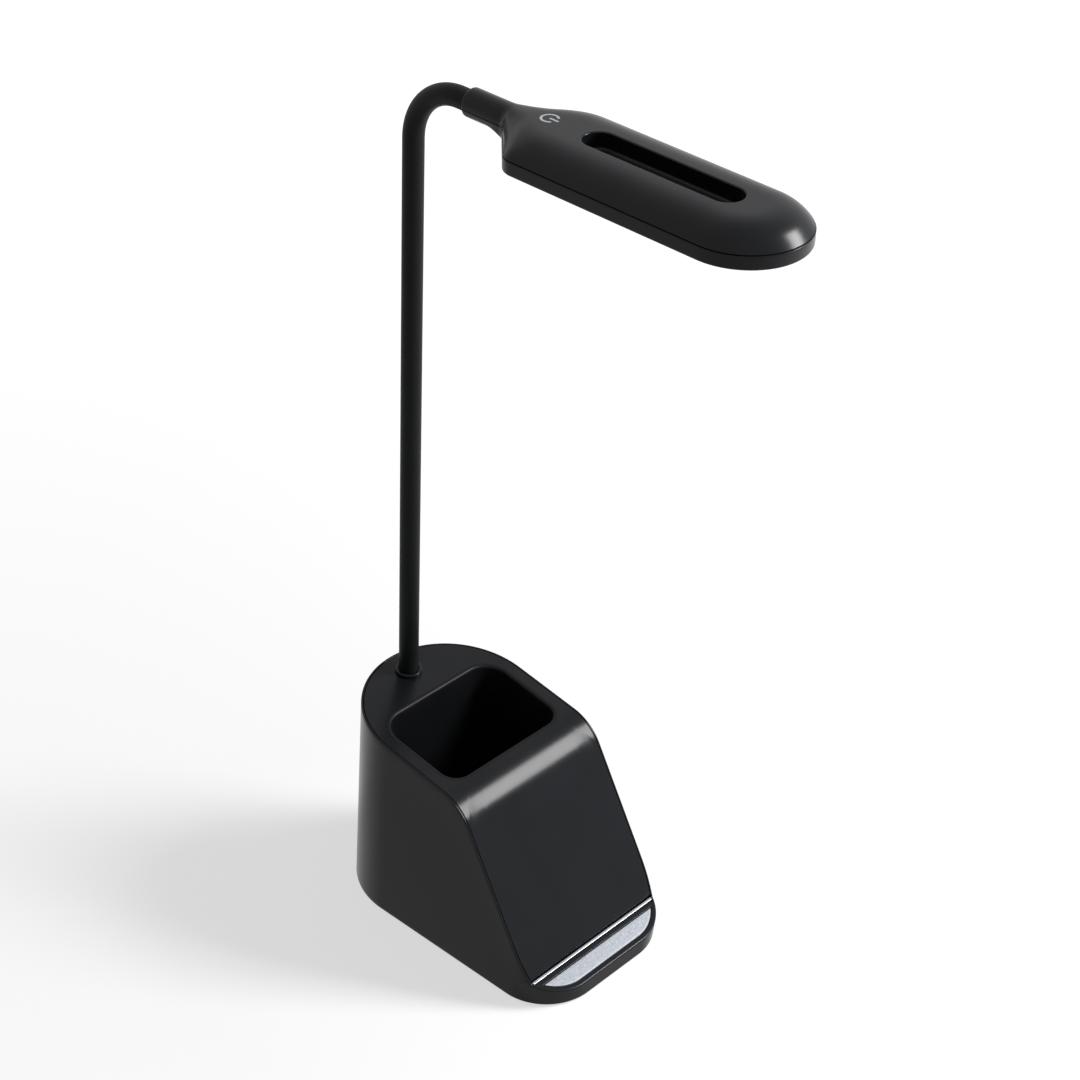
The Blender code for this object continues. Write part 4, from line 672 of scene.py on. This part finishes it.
def make_base_body():
    """The moulded base: skirt, walls with their rounded top edge, and the ledge with the pad's bed."""
    front, back = wall_turns()
    turns = full_ring(np.concatenate([front, back[1:]]))
    rows = [level(turns, WALL, SKIRT_Z + 4 * EDGE), level(turns, WALL, SKIRT_Z + LIP),
            level(turns, WALL - LIP, SKIRT_Z)]
    rows += [level(turns, inset, SKIRT_Z + rise) for inset, rise in reversed(quarter(EDGE))]
    crest = skin(turns, 0, EDGE)[:, 2]
    rows += [level(turns, 0, SKIRT_Z + EDGE + (crest - SKIRT_Z - EDGE) * share)
             for share in spaced((0, 0.115, 0.2, 1), (6, 19, 21))[1:]]
    rows += [skin(turns, inset, depth) for inset, depth in quarter(EDGE)[1:]]
    rows.append(skin(turns, RIM_WALL - LIP, 0))
    bm = bmesh.new()
    add_rows(bm, rows, ring=True)
    weld(bm)
    open_hole(bm, inlet_plan, inlet_edge, wall_point)
    inner_edge = [(RIM_WALL - fall, depth) for depth, fall in quarter(LIP)] + [(RIM_WALL, RIM_DEPTH)]
    for side in (-1, 1):
        add_rows(bm, [skin(side * back, inset, depth) for inset, depth in inner_edge])
    bed, bed_rear = PAD_INSET - GAP, PAD_REAR_Y + GAP
    rows = [d_loop(front, RIM_WALL - LIP, GROOVE_Y, 0)]
    rows += [d_loop(front, bed - fall, bed_rear + fall, depth) for depth, fall in quarter(LIP)]
    rows.append(d_loop(front, bed, bed_rear, PAD_DEPTH))
    rows.append(d_loop(front, bed + 2 * EDGE, bed_rear - 2 * EDGE, PAD_DEPTH))
    add_rows(bm, rows, ring=True)
    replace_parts(finish_mesh("base_body", bm, SATIN, "base"), "base_shell")
    rows, mouth = [], [(2 * EDGE, UNDER)] + [(b, UNDER + a) for a, b in quarter(EDGE)] + [(0.0, INLET_DEPTH)]
    for spread, sunk in mouth:
        spread += GAP
        ring = rounded_ring(USB_WIDTH / 2 + spread, USB_HEIGHT / 2 + spread, INLET_CORNER + spread)
        rows.append([wall_point(x, USB_Z + z, sunk) for x, z in ring])
    surface("inlet_surround", rows, SATIN, "base", inside=True)


def d_loop(front, inset, rear_y, depth):
    """A loop on the ledge: round the front at an inset, and straight back across at rear_y."""
    last = turn_at(rear_y, inset)
    arc = np.where(front < 1, front, 1 + (front - 1) * (last - 1) / (front[-1] - 1))
    half = settled(outline, arc, inset, lambda y: ledge(y, depth), LEDGE_HEIGHT)
    across = np.linspace(1, -1, 42)[1:-1, None] * half[-1] * (1, 0, 0) + half[-1] * (0, 1, 1)
    return np.concatenate([half, across, half[:0:-1] * (-1, 1, 1)])


def half_across(y, inset):
    """Half the width of the upper side across y."""
    return skin(turns_at(np.array([y]), inset), inset, 0)[0][0]


def make_ledge_trim():
    """The bright strip at the slope's foot with the dark groove before it, and the silver pad."""
    shares = np.linspace(-1, 1, 90)
    groove = [(GROOVE_Y + LIP - b, a) for a, b in quarter(LIP)]
    groove += [(GROOVE_Y + LIP, GROOVE_DEPTH), (COVER_START_Y + 3 * LIP, GROOVE_DEPTH)]
    wide = [half_across(y, RIM_WALL - LIP) for y, depth in groove]
    surface("strip_groove", [[(share * x, y, ledge(y, depth)) for share in shares]
                             for x, (y, depth) in zip(wide, groove)], SATIN, "base", ring=False, inside=True)
    profile = [(STRIP_FRONT_Y, STRIP_WIDTH)] + [(STRIP_FRONT_Y + a, b - STRIP_PROUD) for a, b in quarter(LIP)]
    profile += [(STRIP_REAR_Y - a, b - STRIP_PROUD) for a, b in reversed(quarter(LIP))]
    profile.append((STRIP_REAR_Y, STRIP_WIDTH))
    wide = [half_across(y, RIM_WALL + GAP) for y, depth in profile]
    strip = surface("bright_strip", [[(share * x, y, ledge(y, depth)) for x, (y, depth) in zip(wide, profile)]
                                     for share in shares], CHROME, "base", ring=False)
    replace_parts(strip, "trim_strip")
    front = wall_turns()[0]
    rows = [d_loop(front, PAD_INSET, PAD_REAR_Y, PAD_DEPTH)]
    rows += [d_loop(front, PAD_INSET + a, PAD_REAR_Y - a, b) for a, b in quarter(LIP)]
    rows.append(d_loop(front, PAD_INSET + 2 * EDGE, PAD_REAR_Y - 2 * EDGE, 0))
    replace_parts(surface("silver_pad", rows, SILVER, "base", cap=True), "ledge_pad")


CUP_TURNS = spaced((0, 1, 2, 3, 4, 5), (14, 40, 30, 26, 14))


def cover_edge(inset, depth, start_y):
    """Half the cover's outer edge, a point for each of CUP_TURNS: foot line, sides and rear arc."""
    beside_y = CUP_FRONT_Y + CUP_FRONT_CORNER
    side_y = np.interp(CUP_TURNS, (1, 1.2, 1.9, 2),
                       (start_y, BEND_START_Y - BEND_MARGIN, BEND_END_Y + BEND_MARGIN, beside_y))
    stops = np.interp(CUP_TURNS, (2, 3, 4, 5), (turn_at(beside_y, inset), 2.97, 3.55, 4.0))
    stops = np.where(CUP_TURNS < 2, turns_at(side_y, inset), stops)
    edge = skin(stops, inset, depth)
    line = CUP_TURNS < 1
    edge[line] = edge[CUP_TURNS == 1][0] * (1, 0, 0) * CUP_TURNS[line, None] + (0, start_y, 0)
    edge[line, 2] = saddle(start_y, depth)
    return edge


def make_cover():
    """The cover: slope, bend and top in one smooth sheet round the cup's mouth."""
    inset = RIM_WALL + GAP
    rows = [cup_skin(CUP_TURNS, -HAIRLINE, SEAM_DEPTH), cup_skin(CUP_TURNS, -HAIRLINE, 0)]
    edge = [cover_edge(inset + a, b, COVER_START_Y + a) for a, b in quarter(LIP)]
    start, end = rows[-1], edge[-1]
    for share in spaced((0, 0.33, 1), (26, 35))[1:-1]:
        row = start + (end - start) * share
        row[:, 2] = saddle(row[:, 1])
        rows.append(row)
    rows += edge[::-1] + [cover_edge(inset, SEAM_DEPTH, COVER_START_Y)]
    rows = [np.concatenate([row, row[-2:0:-1] * (-1, 1, 1)]) for row in rows]
    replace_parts(surface("slope_cover", rows, SATIN, "base"), "top_cover")


def make_cup():
    """The pen cup: its rim flush with the cover, a rounded inner edge, drafted walls and a floor."""
    turns = full_ring(CUP_TURNS)
    rows = [cup_skin(turns, 0, SEAM_DEPTH), cup_skin(turns, 0, 0)]
    rows += [cup_skin(turns, CUP_WALL - b, a) for a, b in quarter(MOUTH_EDGE)]
    top, low = rows[-1][:, 2], CUP_FLOOR_Z + CUP_FILLET
    places = [(0, top + (low - top) * share) for share in np.linspace(0, 1, 26)[1:]]
    places += [(a, CUP_FLOOR_Z + b) for a, b in quarter(CUP_FILLET)[1:]] + [(2 * CUP_FILLET, CUP_FLOOR_Z)]
    rows += [level(turns, CUP_WALL + inset, z, cup_outline) for inset, z in places]
    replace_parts(surface("cup_liner", rows, CUP_BLACK, "base", cap=True, inside=True), "pen_cup")


def make_underside():
    """The rubber pad under the base."""
    turns = full_ring(spaced((0, 1, 2, 3, 4), (8, 24, 29, 49)))
    rows = [level(turns, FOOT_PAD_INSET, FOOT_PAD_TOP)]
    rows += [level(turns, FOOT_PAD_INSET + a, b) for a, b in quarter(LIP)]
    rows += [level(turns, FOOT_PAD_INSET + inset, 0) for inset in (0.0012, 0.004)]
    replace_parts(surface("rubber_foot", rows, RUBBER, "base", cap=True), "anti_slip_pad")


def make_inlet():
    """The charging inlet: a drawn steel mouth with a tongue inside."""
    y = REAR_Y - USB_Z * math.tan(REAR_DRAFT) - USB_RECESS
    half_x, half_z, metal = USB_WIDTH / 2, USB_HEIGHT / 2, SOCKET_METAL
    rows = []
    for shrink, behind in ((0, USB_DEPTH), (0, LIP / 2), (LIP / 2, 0), (metal - LIP / 2, 0), (metal, LIP / 2),
                           (metal, SOCKET_FLOOR), (metal + 2 * LIP, SOCKET_FLOOR)):
        ring = rounded_ring(half_x - shrink, half_z - shrink, SOCKET_CORNER - shrink)
        rows.append([(x, y - behind, USB_Z + z) for x, z in ring])
    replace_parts(surface("inlet_mouth", rows, STEEL, "base", cap=True), "usb_socket")
    half_x, half_z, corner, bevel, shoulder, tip = 0.0033, 0.00035, 0.0002, 0.00012, 0.0012, 0.001
    rows = []
    for shrink, behind in ((0, SOCKET_FLOOR), (0, shoulder), (bevel, tip)):
        ring = rounded_ring(half_x - shrink, half_z - shrink, corner - shrink / 2)
        rows.append([(x, y - behind, USB_Z + z) for x, z in ring])
    surface("inlet_tongue", rows, INNER, "base", cap=True)


# Neck
def neck_place(s):
    """Y, Z and lean of the neck's centre line at a length along it."""
    lean = NECK_LEAN + min(max(s - NECK_STRAIGHT, 0) / NECK_BEND_RADIUS, NECK_TURN)
    before, after = min(s, NECK_STRAIGHT), max(s - NECK_STRAIGHT - NECK_ARC, 0)
    y = NECK_Y - before * math.sin(NECK_LEAN) - after * math.sin(lean)
    z = NECK_Z + before * math.cos(NECK_LEAN) + after * math.cos(lean)
    y += NECK_BEND_RADIUS * (math.cos(lean) - math.cos(NECK_LEAN))
    z += NECK_BEND_RADIUS * (math.sin(lean) - math.sin(NECK_LEAN))
    return y, z, lean


def neck_ring(s, radius, ahead=0.0, steps=56):
    """A ring round the neck's centre line, moved straight ahead by that much."""
    y, z, lean = neck_place(s)
    y, z = y - ahead * math.sin(lean), z + ahead * math.cos(lean)
    turns = np.linspace(0, math.tau, steps, endpoint=False)
    return [(x, y + b * math.cos(lean), z + b * math.sin(lean)) for x, b in polar(radius, turns)]


def make_crown_knuckle(start, hinge, end):
    """The sleeve at the crown's middle hinge: two lengths whose round ends share one centre there."""
    for name, body, far, way in (("neck_length_6", "neck_6", start, 1),
                                 ("neck_length_6_upper", "neck_7", end, -1)):
        rows = [neck_ring(s, NECK_RADIUS) for s in np.linspace(far, hinge, 8)]
        rows += [neck_ring(hinge, NECK_RADIUS * math.cos(turn), way * NECK_RADIUS * math.sin(turn))
                 for turn in np.linspace(0, QUARTER_TURN * ROUND_END, 10)[1:]]
        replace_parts(surface(name, rows, SILICONE, body, cap=True), "neck_sleeve_6")


def make_neck():
    """The silicone sleeve, in a length for each hinge, and its collar."""
    seams = [SLEEVE_START] + [(one + other) / 2 for one, other in zip(HINGES, HINGES[1:])] + [NECK_END]
    for index, hinge in enumerate(HINGES):
        start, end = seams[index], seams[index + 1]
        if index == CROWN_MIDDLE:
            make_crown_knuckle(start, hinge, end)
            continue
        count = math.ceil((end - start) / SLEEVE_STEP)
        rows = [neck_ring(start + (end - start) * step / count, NECK_RADIUS) for step in range(count + 1)]
        piece = surface(f"neck_length_{index}", rows, SILICONE, None)
        reach = END_REACH if index > CROWN_MIDDLE else CROWN_REACH if index >= len(STEM_HINGES) else STEM_REACH
        low, high = neck_place(hinge - reach), neck_place(hinge + reach)
        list(low[:2])
        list(high[:2])
        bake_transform(piece)
        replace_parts(piece, *[f"neck_sleeve_{number}" for number in ([8, 9] if index == 8 else [index])])
    y, z, lean = neck_place(0)
    foot = Matrix.Translation((0, y, z)) @ Matrix.Rotation(lean, 4, "X")
    bore = NECK_RADIUS + LIP
    profile = [(bore, -COLLAR_BORE_DEPTH)] + [(bore + a, COLLAR_HEIGHT - b) for a, b in quarter(LIP)]
    profile += [(COLLAR_RADIUS - b, COLLAR_HEIGHT - a) for a, b in quarter(EDGE)]
    profile.append((COLLAR_RADIUS, -COLLAR_DEPTH))
    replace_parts(turned("neck_ferrule", profile, foot, SATIN, "base"), "neck_collar")


# Head, in its own lying frame: v across, u from the stub's mouth to the nose, w up from the underside
def make_head_place():
    y, z, lean = neck_place(TURN_S)
    return (Matrix.Translation((0, y, z)) @ Matrix.Rotation(HEAD_PITCH, 4, "X")
            @ Matrix.Translation((0, -TURN_LEAD, -STUB_AXIS)))


HEAD_PLACE = make_head_place()
EASE = math.tan(math.pi / 8)
HALF_SQUARE = math.sqrt(0.5)
SHELL_STEPS = 30
UNDER_STEPS = 12
BAND_PROFILE = ([(TONGUE_INSET, TONGUE_TOP), (TONGUE_INSET, BAND_HEIGHT)]
                + [(inset, BAND_HEIGHT - drop) for inset, drop in reversed(quarter(GAP))]
                + [(0.0, w) for w in BAND_LEVELS] + quarter(BAND_FOOT))


def half_width(u):
    """Half the head's width at u, and how squarely its edge faces sideways there."""
    hollow = u - SHOULDER_U + STUB_FILLET * EASE
    corner = CORNER_U + SHOULDER_RADIUS * EASE - u
    if hollow <= 0:
        return STUB_RADIUS, 1.0
    if corner <= 0:
        return HEAD_HALF_WIDTH, 1.0
    if hollow < STUB_FILLET * HALF_SQUARE:
        across = math.sqrt(STUB_FILLET ** 2 - hollow ** 2)
        return STUB_RADIUS + STUB_FILLET - across, across / STUB_FILLET
    if corner < SHOULDER_RADIUS * HALF_SQUARE:
        across = math.sqrt(SHOULDER_RADIUS ** 2 - corner ** 2)
        return HEAD_HALF_WIDTH - SHOULDER_RADIUS + across, across / SHOULDER_RADIUS
    return STUB_RADIUS + u - SHOULDER_U, HALF_SQUARE


def ease(value, low, high):
    share = min(max((value - low) / (high - low), 0), 1)
    return share * share * (3 - 2 * share)


def dome_share(u, v):
    """How far v is from the head's edge at u towards the crest, from 0 to 1."""
    half, square = half_width(u)
    return min(max((half - abs(v)) * square / min(DOME_RUN, half * square), 0), 1)


def dome_w(u, v):
    """Height of the head's top over its underside, before the nose. The shoulders' hips are softened."""
    half, square = half_width(u)
    share = dome_share(u, v)
    soft = sum(dome_share(u + step, v) for step in HIP_STEPS) / len(HIP_STEPS)
    share += (soft - share) * ease((half - abs(v)) * square, 0, HIP_REACH)
    crest = STUB_AXIS + STUB_RADIUS
    crest += (CREST_W - crest) * ease(u, *CREST_EASE)
    return BAND_HEIGHT + (crest - BAND_HEIGHT) * (1 - (1 - share) ** 3)


def shell_section(u):
    """Half the top shell's section from its tucked lip to the middle, as (v, w)."""
    half, square = half_width(u)
    lip, soft = BAND_HEIGHT + GAP, LIP / 2
    low = math.asin((lip - STUB_AXIS) / STUB_RADIUS)
    sections = []
    for edge in (half * math.cos(low), half - EDGE_INSET / square):
        sections.append([(edge - LIP_TUCK, lip), (edge - soft, lip), (edge, lip + soft)])
    tube, dome = sections
    low += soft / STUB_RADIUS
    for share in np.linspace(0, 1, SHELL_STEPS + 1):
        turn = low + (QUARTER_TURN - low) * share
        tube.append((half * math.cos(turn), STUB_AXIS + STUB_RADIUS * math.sin(turn)))
        v = (half - EDGE_INSET / square) * math.cos(QUARTER_TURN * share)
        dome.append((v, dome_w(u, v)))
    return blend_sections(tube, dome, ease(u, *SHELL_EASE))


def band_section(u):
    """Half the lower shell's section, from its hidden tongue round the band to the middle."""
    half, square = half_width(u)
    flat = [(half - inset / square, w) for inset, w in BAND_PROFILE]
    flat += [(flat[-1][0] * share, 0.0) for share in np.linspace(1, 0, UNDER_STEPS + 1)[1:]]
    high = math.asin((BAND_HEIGHT - STUB_AXIS) / STUB_RADIUS)
    tube = [(half - TONGUE_INSET, TONGUE_TOP), (half - TONGUE_INSET, BAND_HEIGHT)]
    for turn in np.linspace(high, -QUARTER_TURN, len(flat) - 2):
        tube.append((half * math.cos(turn), STUB_AXIS + STUB_RADIUS * math.sin(turn)))
    return blend_sections(tube, flat, ease(u, *BAND_EASE))


def blend_sections(first, second, share):
    return [(v + (other_v - v) * share, w + (other_w - w) * share)
            for (v, w), (other_v, other_w) in zip(first, second)]


def head_stations():
    """Places along the head, as (u, radius of the stub's chamfered mouth or None)."""
    bore, wall, chamfer = STUB_BORE, STUB_RADIUS, STUB_CHAMFER
    mouth = [(STUB_BORE_DEPTH, bore), (LIP, bore), (UNDER * 2, bore + LIP / 4), (0.0, bore + LIP),
             (chamfer - LIP, wall - LIP), (chamfer, wall - LIP / 4), (chamfer + LIP, wall)]
    stub = SHOULDER_U - STUB_FILLET * EASE
    end = CORNER_U + SHOULDER_RADIUS * EASE
    stops = (chamfer + LIP, DENSE_STUB_U, stub, stub + STUB_FILLET * HALF_SQUARE,
             end - SHOULDER_RADIUS * HALF_SQUARE, end, NOSE_U)
    return mouth + [(u, None) for u in spaced(stops, (10, 12, 8, 24, 12, 76))[1:]]


def head_rows(section):
    """Rows of one of the head's two shells, and of its nose, in the head's frame."""
    rows = []
    for u, mouth in head_stations():
        half = section(0.0 if mouth else u)
        if mouth:
            size = mouth / STUB_RADIUS
            half = [(v * size, STUB_AXIS + (w - STUB_AXIS) * size) for v, w in half]
        rows.append([(v, -u, w) for v, w in half + [(-v, w) for v, w in half[-2::-1]]])
    nose = [[(v * math.cos(turn), -NOSE_U - v * math.sin(turn), w) for v, w in section(NOSE_U)]
            for turn in np.linspace(0, math.pi, 73)]
    return rows, nose


def head_shell(section):
    bm = bmesh.new()
    for rows in head_rows(section):
        add_rows(bm, rows)
    weld(bm)
    return bm


def slot_edge(u, v):
    """How far a place is outside the long recess."""
    return math.hypot(max(SLOT_FIRST_U - u, u - SLOT_LAST_U, 0), v) - SLOT_HALF_WIDTH


def slot_ring(spread):
    """The long recess's outline, grown by spread, in the head's plan."""
    radius, turns = SLOT_HALF_WIDTH + spread, np.linspace(0, math.pi, 41)
    ring = polar(radius, turns, 0, SLOT_LAST_U)
    ring += [(-radius, u) for u in np.linspace(SLOT_LAST_U, SLOT_FIRST_U, 17)[1:-1]]
    ring += polar(-radius, turns, 0, SLOT_FIRST_U)
    return ring + [(radius, u) for u in np.linspace(SLOT_FIRST_U, SLOT_LAST_U, 17)[1:-1]]


def slot_plan(at):
    """A vertex's place in the head's plan, if it is on the flat crest near the long recess."""
    u, v, w = SLOT_REACH
    return (-at.y, at.x) if at.z > w and -at.y > u and abs(at.x) < v else None


def plan_point(w):
    """What gives the point at a place of the head's plan, at one height."""
    return lambda u, v: Vector((v, -u, w))


def lining(rows, outline_at):
    """Rows of (spread, w) round an opening of the head."""
    return [[(v, -u, w) for v, u in outline_at(spread)] for spread, w in rows]


def make_head_top():
    """The head's domed top with the stub's upper half and the long recess."""
    bm = head_shell(shell_section)
    open_hole(bm, slot_plan, lambda u, v: slot_edge(u, v) - EDGE - LIP, plan_point(CREST_W))
    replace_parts(finish_mesh("head_top", bm, SATIN, "head", at=HEAD_PLACE), "head_top_shell")
    top, deep = CREST_W - UNDER, RECESS_FILLET
    rows = [(2 * EDGE, top)] + [(b, top - a) for a, b in quarter(EDGE)]
    rows += [(0, SLOT_FLOOR_W + (top - SLOT_FLOOR_W) * share) for share in (0.75, 0.5, 0.3)]
    rows.append((0, SLOT_FLOOR_W + deep))
    surface("head_recess_wall", lining(rows, slot_ring), SATIN, "head", inside=True, at=HEAD_PLACE)
    rows = [(-a, SLOT_FLOOR_W + b) for a, b in quarter(deep)] + [(-deep * 2, SLOT_FLOOR_W)]
    # The recess floor takes the finish painted lighter than the shell, as painted light inside the recess.
    surface("head_recess_floor", lining(rows, slot_ring), RECESS_PAINTED_LIGHT, "head", cap=True, inside=True, at=HEAD_PLACE)


def window_edge(u, v):
    """How far a place is outside the light's window."""
    if u > NOSE_U:
        return math.hypot(u - NOSE_U, v) - WINDOW_HALF
    over_u, over_v = WINDOW_REAR_U - u + WINDOW_CORNER, abs(v) - WINDOW_HALF + WINDOW_CORNER
    return outside_corner(over_u, over_v, WINDOW_CORNER)


def window_ring(spread):
    """The light's window, grown by spread, in the head's plan."""
    half, corner = WINDOW_HALF + spread, WINDOW_CORNER + spread
    low = WINDOW_REAR_U - spread + corner
    ring = polar(half, np.linspace(0, math.pi, 61), 0, NOSE_U)
    ring += [(-half, u) for u in np.linspace(NOSE_U, low, 21)[1:-1]]
    left = polar(-corner, np.linspace(0, QUARTER_TURN, 10), -half + corner, low)
    across = [(v, left[-1][1]) for v in np.linspace(left[-1][0], -left[-1][0], 13)[1:-1]]
    ring += left + across + [(-v, u) for v, u in reversed(left)]
    return ring + [(half, u) for u in np.linspace(low, NOSE_U, 21)[1:-1]]


def make_head_underside():
    """The band and underside of the head, its opal window and the two screws."""
    bm = head_shell(band_section)
    flat = UNDER * 2
    screws = [(side * HEAD_SCREW_SPREAD, HEAD_SCREW_U) for side in (-1, 1)]
    open_hole(bm, lambda at: (-at.y, at.x) if at.z < flat and -at.y > WINDOW_REACH_U else None,
              lambda u, v: window_edge(u, v) - EDGE - LIP, plan_point(0))
    sink = SCREW_HEAD_RADIUS + GAP
    for screw_v, screw_u in screws:
        def away(u, v):
            return math.hypot(u - screw_u, v - screw_v) - sink - EDGE

        def beside(at):
            return (-at.y, at.x) if at.z < flat and away(-at.y, at.x) < SCREW_REACH else None

        open_hole(bm, beside, away, plan_point(0))
    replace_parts(finish_mesh("head_band", bm, SATIN, "head", at=HEAD_PLACE), "head_frame")
    rows = [(2 * EDGE, UNDER)] + [(GAP + b, UNDER + a) for a, b in quarter(LIP)] + [(GAP, WINDOW_TOP)]
    surface("window_surround", lining(rows, window_ring), SATIN, "head", inside=True, at=HEAD_PLACE)
    rows = [(0, WINDOW_TOP)] + [(-a, WINDOW_SUNK + b) for a, b in quarter(LIP)] + [(-2 * EDGE, WINDOW_SUNK)]
    window = surface("light_window", lining(rows, window_ring), OPAL, "head", cap=True, at=HEAD_PLACE)
    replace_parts(window, "diffuser")
    for index, (screw_v, screw_u) in enumerate(screws):
        place = HEAD_PLACE @ Matrix.Translation((screw_v, -screw_u, 0))
        profile = [(sink + 2 * EDGE, UNDER)] + [(sink + b, UNDER + a) for a, b in quarter(LIP)]
        profile += [(sink, SCREW_HEAD_HEIGHT), (SCREW_HEAD_RADIUS - 2 * LIP, SCREW_HEAD_HEIGHT)]
        turned(f"screw_sink_{index}", profile, place, SATIN, "head", inside=True)
        make_screw_head(index, place)


def make_screw_head(index, place):
    """A screw head with a cross recess, looking down out of its sink."""
    arm, slit, face, deep, taper, rim = 0.0013, 0.00032, 0.00025, 0.0007, 0.96, SCREW_HEAD_RADIUS
    cross = []
    for turn in np.arange(4) * QUARTER_TURN:
        for a, b in ((arm, -slit), (arm, slit), (slit, slit)):
            cross.append((a * math.cos(turn) - b * math.sin(turn), a * math.sin(turn) + b * math.cos(turn)))
    shape = [(a + (next_a - a) * share, b + (next_b - b) * share)
             for (a, b), (next_a, next_b) in zip(cross, cross[1:] + cross[:1]) for share in (0, 1 / 3, 2 / 3)]
    rows = []
    for radius, w in ((rim, SCREW_HEAD_HEIGHT), (rim, face + LIP), (rim - LIP / 3, face + LIP / 3),
                      (rim - LIP, face)):
        rows.append([(a * radius / math.hypot(a, b), b * radius / math.hypot(a, b), w) for a, b in shape])
    rows += [[(a, b, face) for a, b in shape], [(a * taper, b * taper, face + deep) for a, b in shape]]
    head = surface(f"screw_head_{index}", rows, STEEL, "head", cap=True, at=place)
    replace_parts(head, f"head_screw_{index}")


def make_power_mark():
    """The pale power mark over the touch switch: an open ring with a bar in its opening."""
    bm = bmesh.new()
    turns = np.linspace(MARK_GAP - QUARTER_TURN, 3 * QUARTER_TURN - MARK_GAP, 61)
    radii = np.linspace(MARK_RADIUS, MARK_RADIUS - MARK_STROKE, 3)
    ring = zip(*[polar(radius, turns) for radius in radii])
    bar = [[(x, y) for x in np.linspace(-MARK_STROKE / 2, MARK_STROKE / 2, 3)]
           for y in np.linspace(0, -MARK_BAR, 13)]
    for lines in (ring, bar):
        add_rows(bm, [[(x, y - MARK_U, dome_w(MARK_U - y, x) + 2 * UNDER) for x, y in line] for line in lines])
    bm.normal_update()
    bmesh.ops.reverse_faces(bm, faces=[face for face in bm.faces if face.normal.z < 0])
    mark = mesh_object("power_mark", bm, PRINT, HEAD_PLACE)
    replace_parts(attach(mark, "head"), "power_symbol")


# Studio
def standing(place, across, upright, back):
    """The matrix of a camera or lamp at a place, which looks away from back."""
    return Matrix.Translation(place) @ Matrix((across, upright, back)).transposed().to_4x4()


def make_camera():
    """The photograph's view, fitted to its outlines."""
    place, lens, sensor = (-0.6136, -0.60995, 0.7616), 81.57, 36
    turn, rise, roll = math.radians(46.51), math.radians(33.04), math.radians(0.28)
    back = Vector((-math.sin(turn) * math.cos(rise), -math.cos(turn) * math.cos(rise), math.sin(rise)))
    right = Vector((math.cos(turn), -math.sin(turn), 0))
    up = right.cross(-back)
    across = right * math.cos(roll) + up * math.sin(roll)
    upright = -right * math.sin(roll) + up * math.cos(roll)
    camera = add_object("camera", bpy.data.cameras.new("camera"))
    camera.data.lens, camera.data.sensor_width = lens, sensor
    camera.data.clip_start, camera.data.clip_end = 0.01, 100
    camera.matrix_world = standing(place, across, upright, back)
    bpy.context.scene.camera = camera


def softbox(name, aim, direction, distance, size, power):
    """A rectangular softbox, aimed from a direction."""
    lamp = bpy.data.lights.new(name, "AREA")
    lamp.shape, lamp.size, lamp.size_y, lamp.energy = "RECTANGLE", size[0], size[1], power
    towards = Vector(direction).normalized()
    side = (Vector((1, 0, 0)) - towards * towards.x).normalized()
    place = Vector(aim) + towards * distance
    add_object(name, lamp).matrix_world = standing(place, side, towards.cross(side), towards)


def seen_share(tree, seen, unseen):
    """One value for what is seen, mirrored or seen through, another for the light given."""
    path = add_node(tree, "LightPath")
    either = maths(tree, "MAXIMUM", path.outputs["Is Camera Ray"], path.outputs["Is Glossy Ray"])
    either = maths(tree, "MAXIMUM", either, path.outputs["Is Transmission Ray"])
    return maths(tree, "ADD", maths(tree, "MULTIPLY", either, maths(tree, "SUBTRACT", seen, unseen)), unseen)


def make_studio():
    """A white studio: floor, surround and one softbox."""
    paper, tree, shader = new_material("studio_paper")
    set_inputs(shader, Base_Color=(0.38, 0.38, 0.38, 1), Roughness=0.9, Specular_IOR_Level=0.0,
               Emission_Color=(1, 1, 1, 1))
    reach = add_node(tree, "VectorMath")
    reach.operation = "LENGTH"
    put(tree, object_place(tree), reach.inputs[0])
    far = ranged(tree, reach.outputs["Value"], low=0.15, high=1.0)
    nearby, rise, sides = 0.63, 0.3, (-4, 4)
    seen = maths(tree, "ADD", maths(tree, "MULTIPLY", far, rise), nearby)
    put(tree, seen_share(tree, seen, unseen=0.0), shader.inputs["Emission Strength"])
    surface("studio_floor", [[(x, y, 0) for x in sides] for y in sides], paper, None, ring=False)
    world = bpy.data.worlds.new("studio_surround")
    bpy.context.scene.world = world
    world.use_nodes = True
    tree = world.node_tree
    set_inputs(tree.nodes["Background"], Color=(1, 1, 1, 1))
    put(tree, seen_share(tree, seen=1.0, unseen=0.17), tree.nodes["Background"].inputs["Strength"])
    softbox("key_softbox", aim=(0.0, -0.015, 0.095), direction=(0.566, -0.59, 0.576), distance=1.2,
            size=(0.34, 0.62), power=22.0)
    bpy.context.scene.view_settings.view_transform = "Standard"


make_camera()
dress_cad_nodes()
make_base_body()
make_ledge_trim()
make_cover()
make_cup()
make_underside()
make_inlet()
make_neck()
make_head_top()
make_head_underside()
make_power_mark()
make_studio()
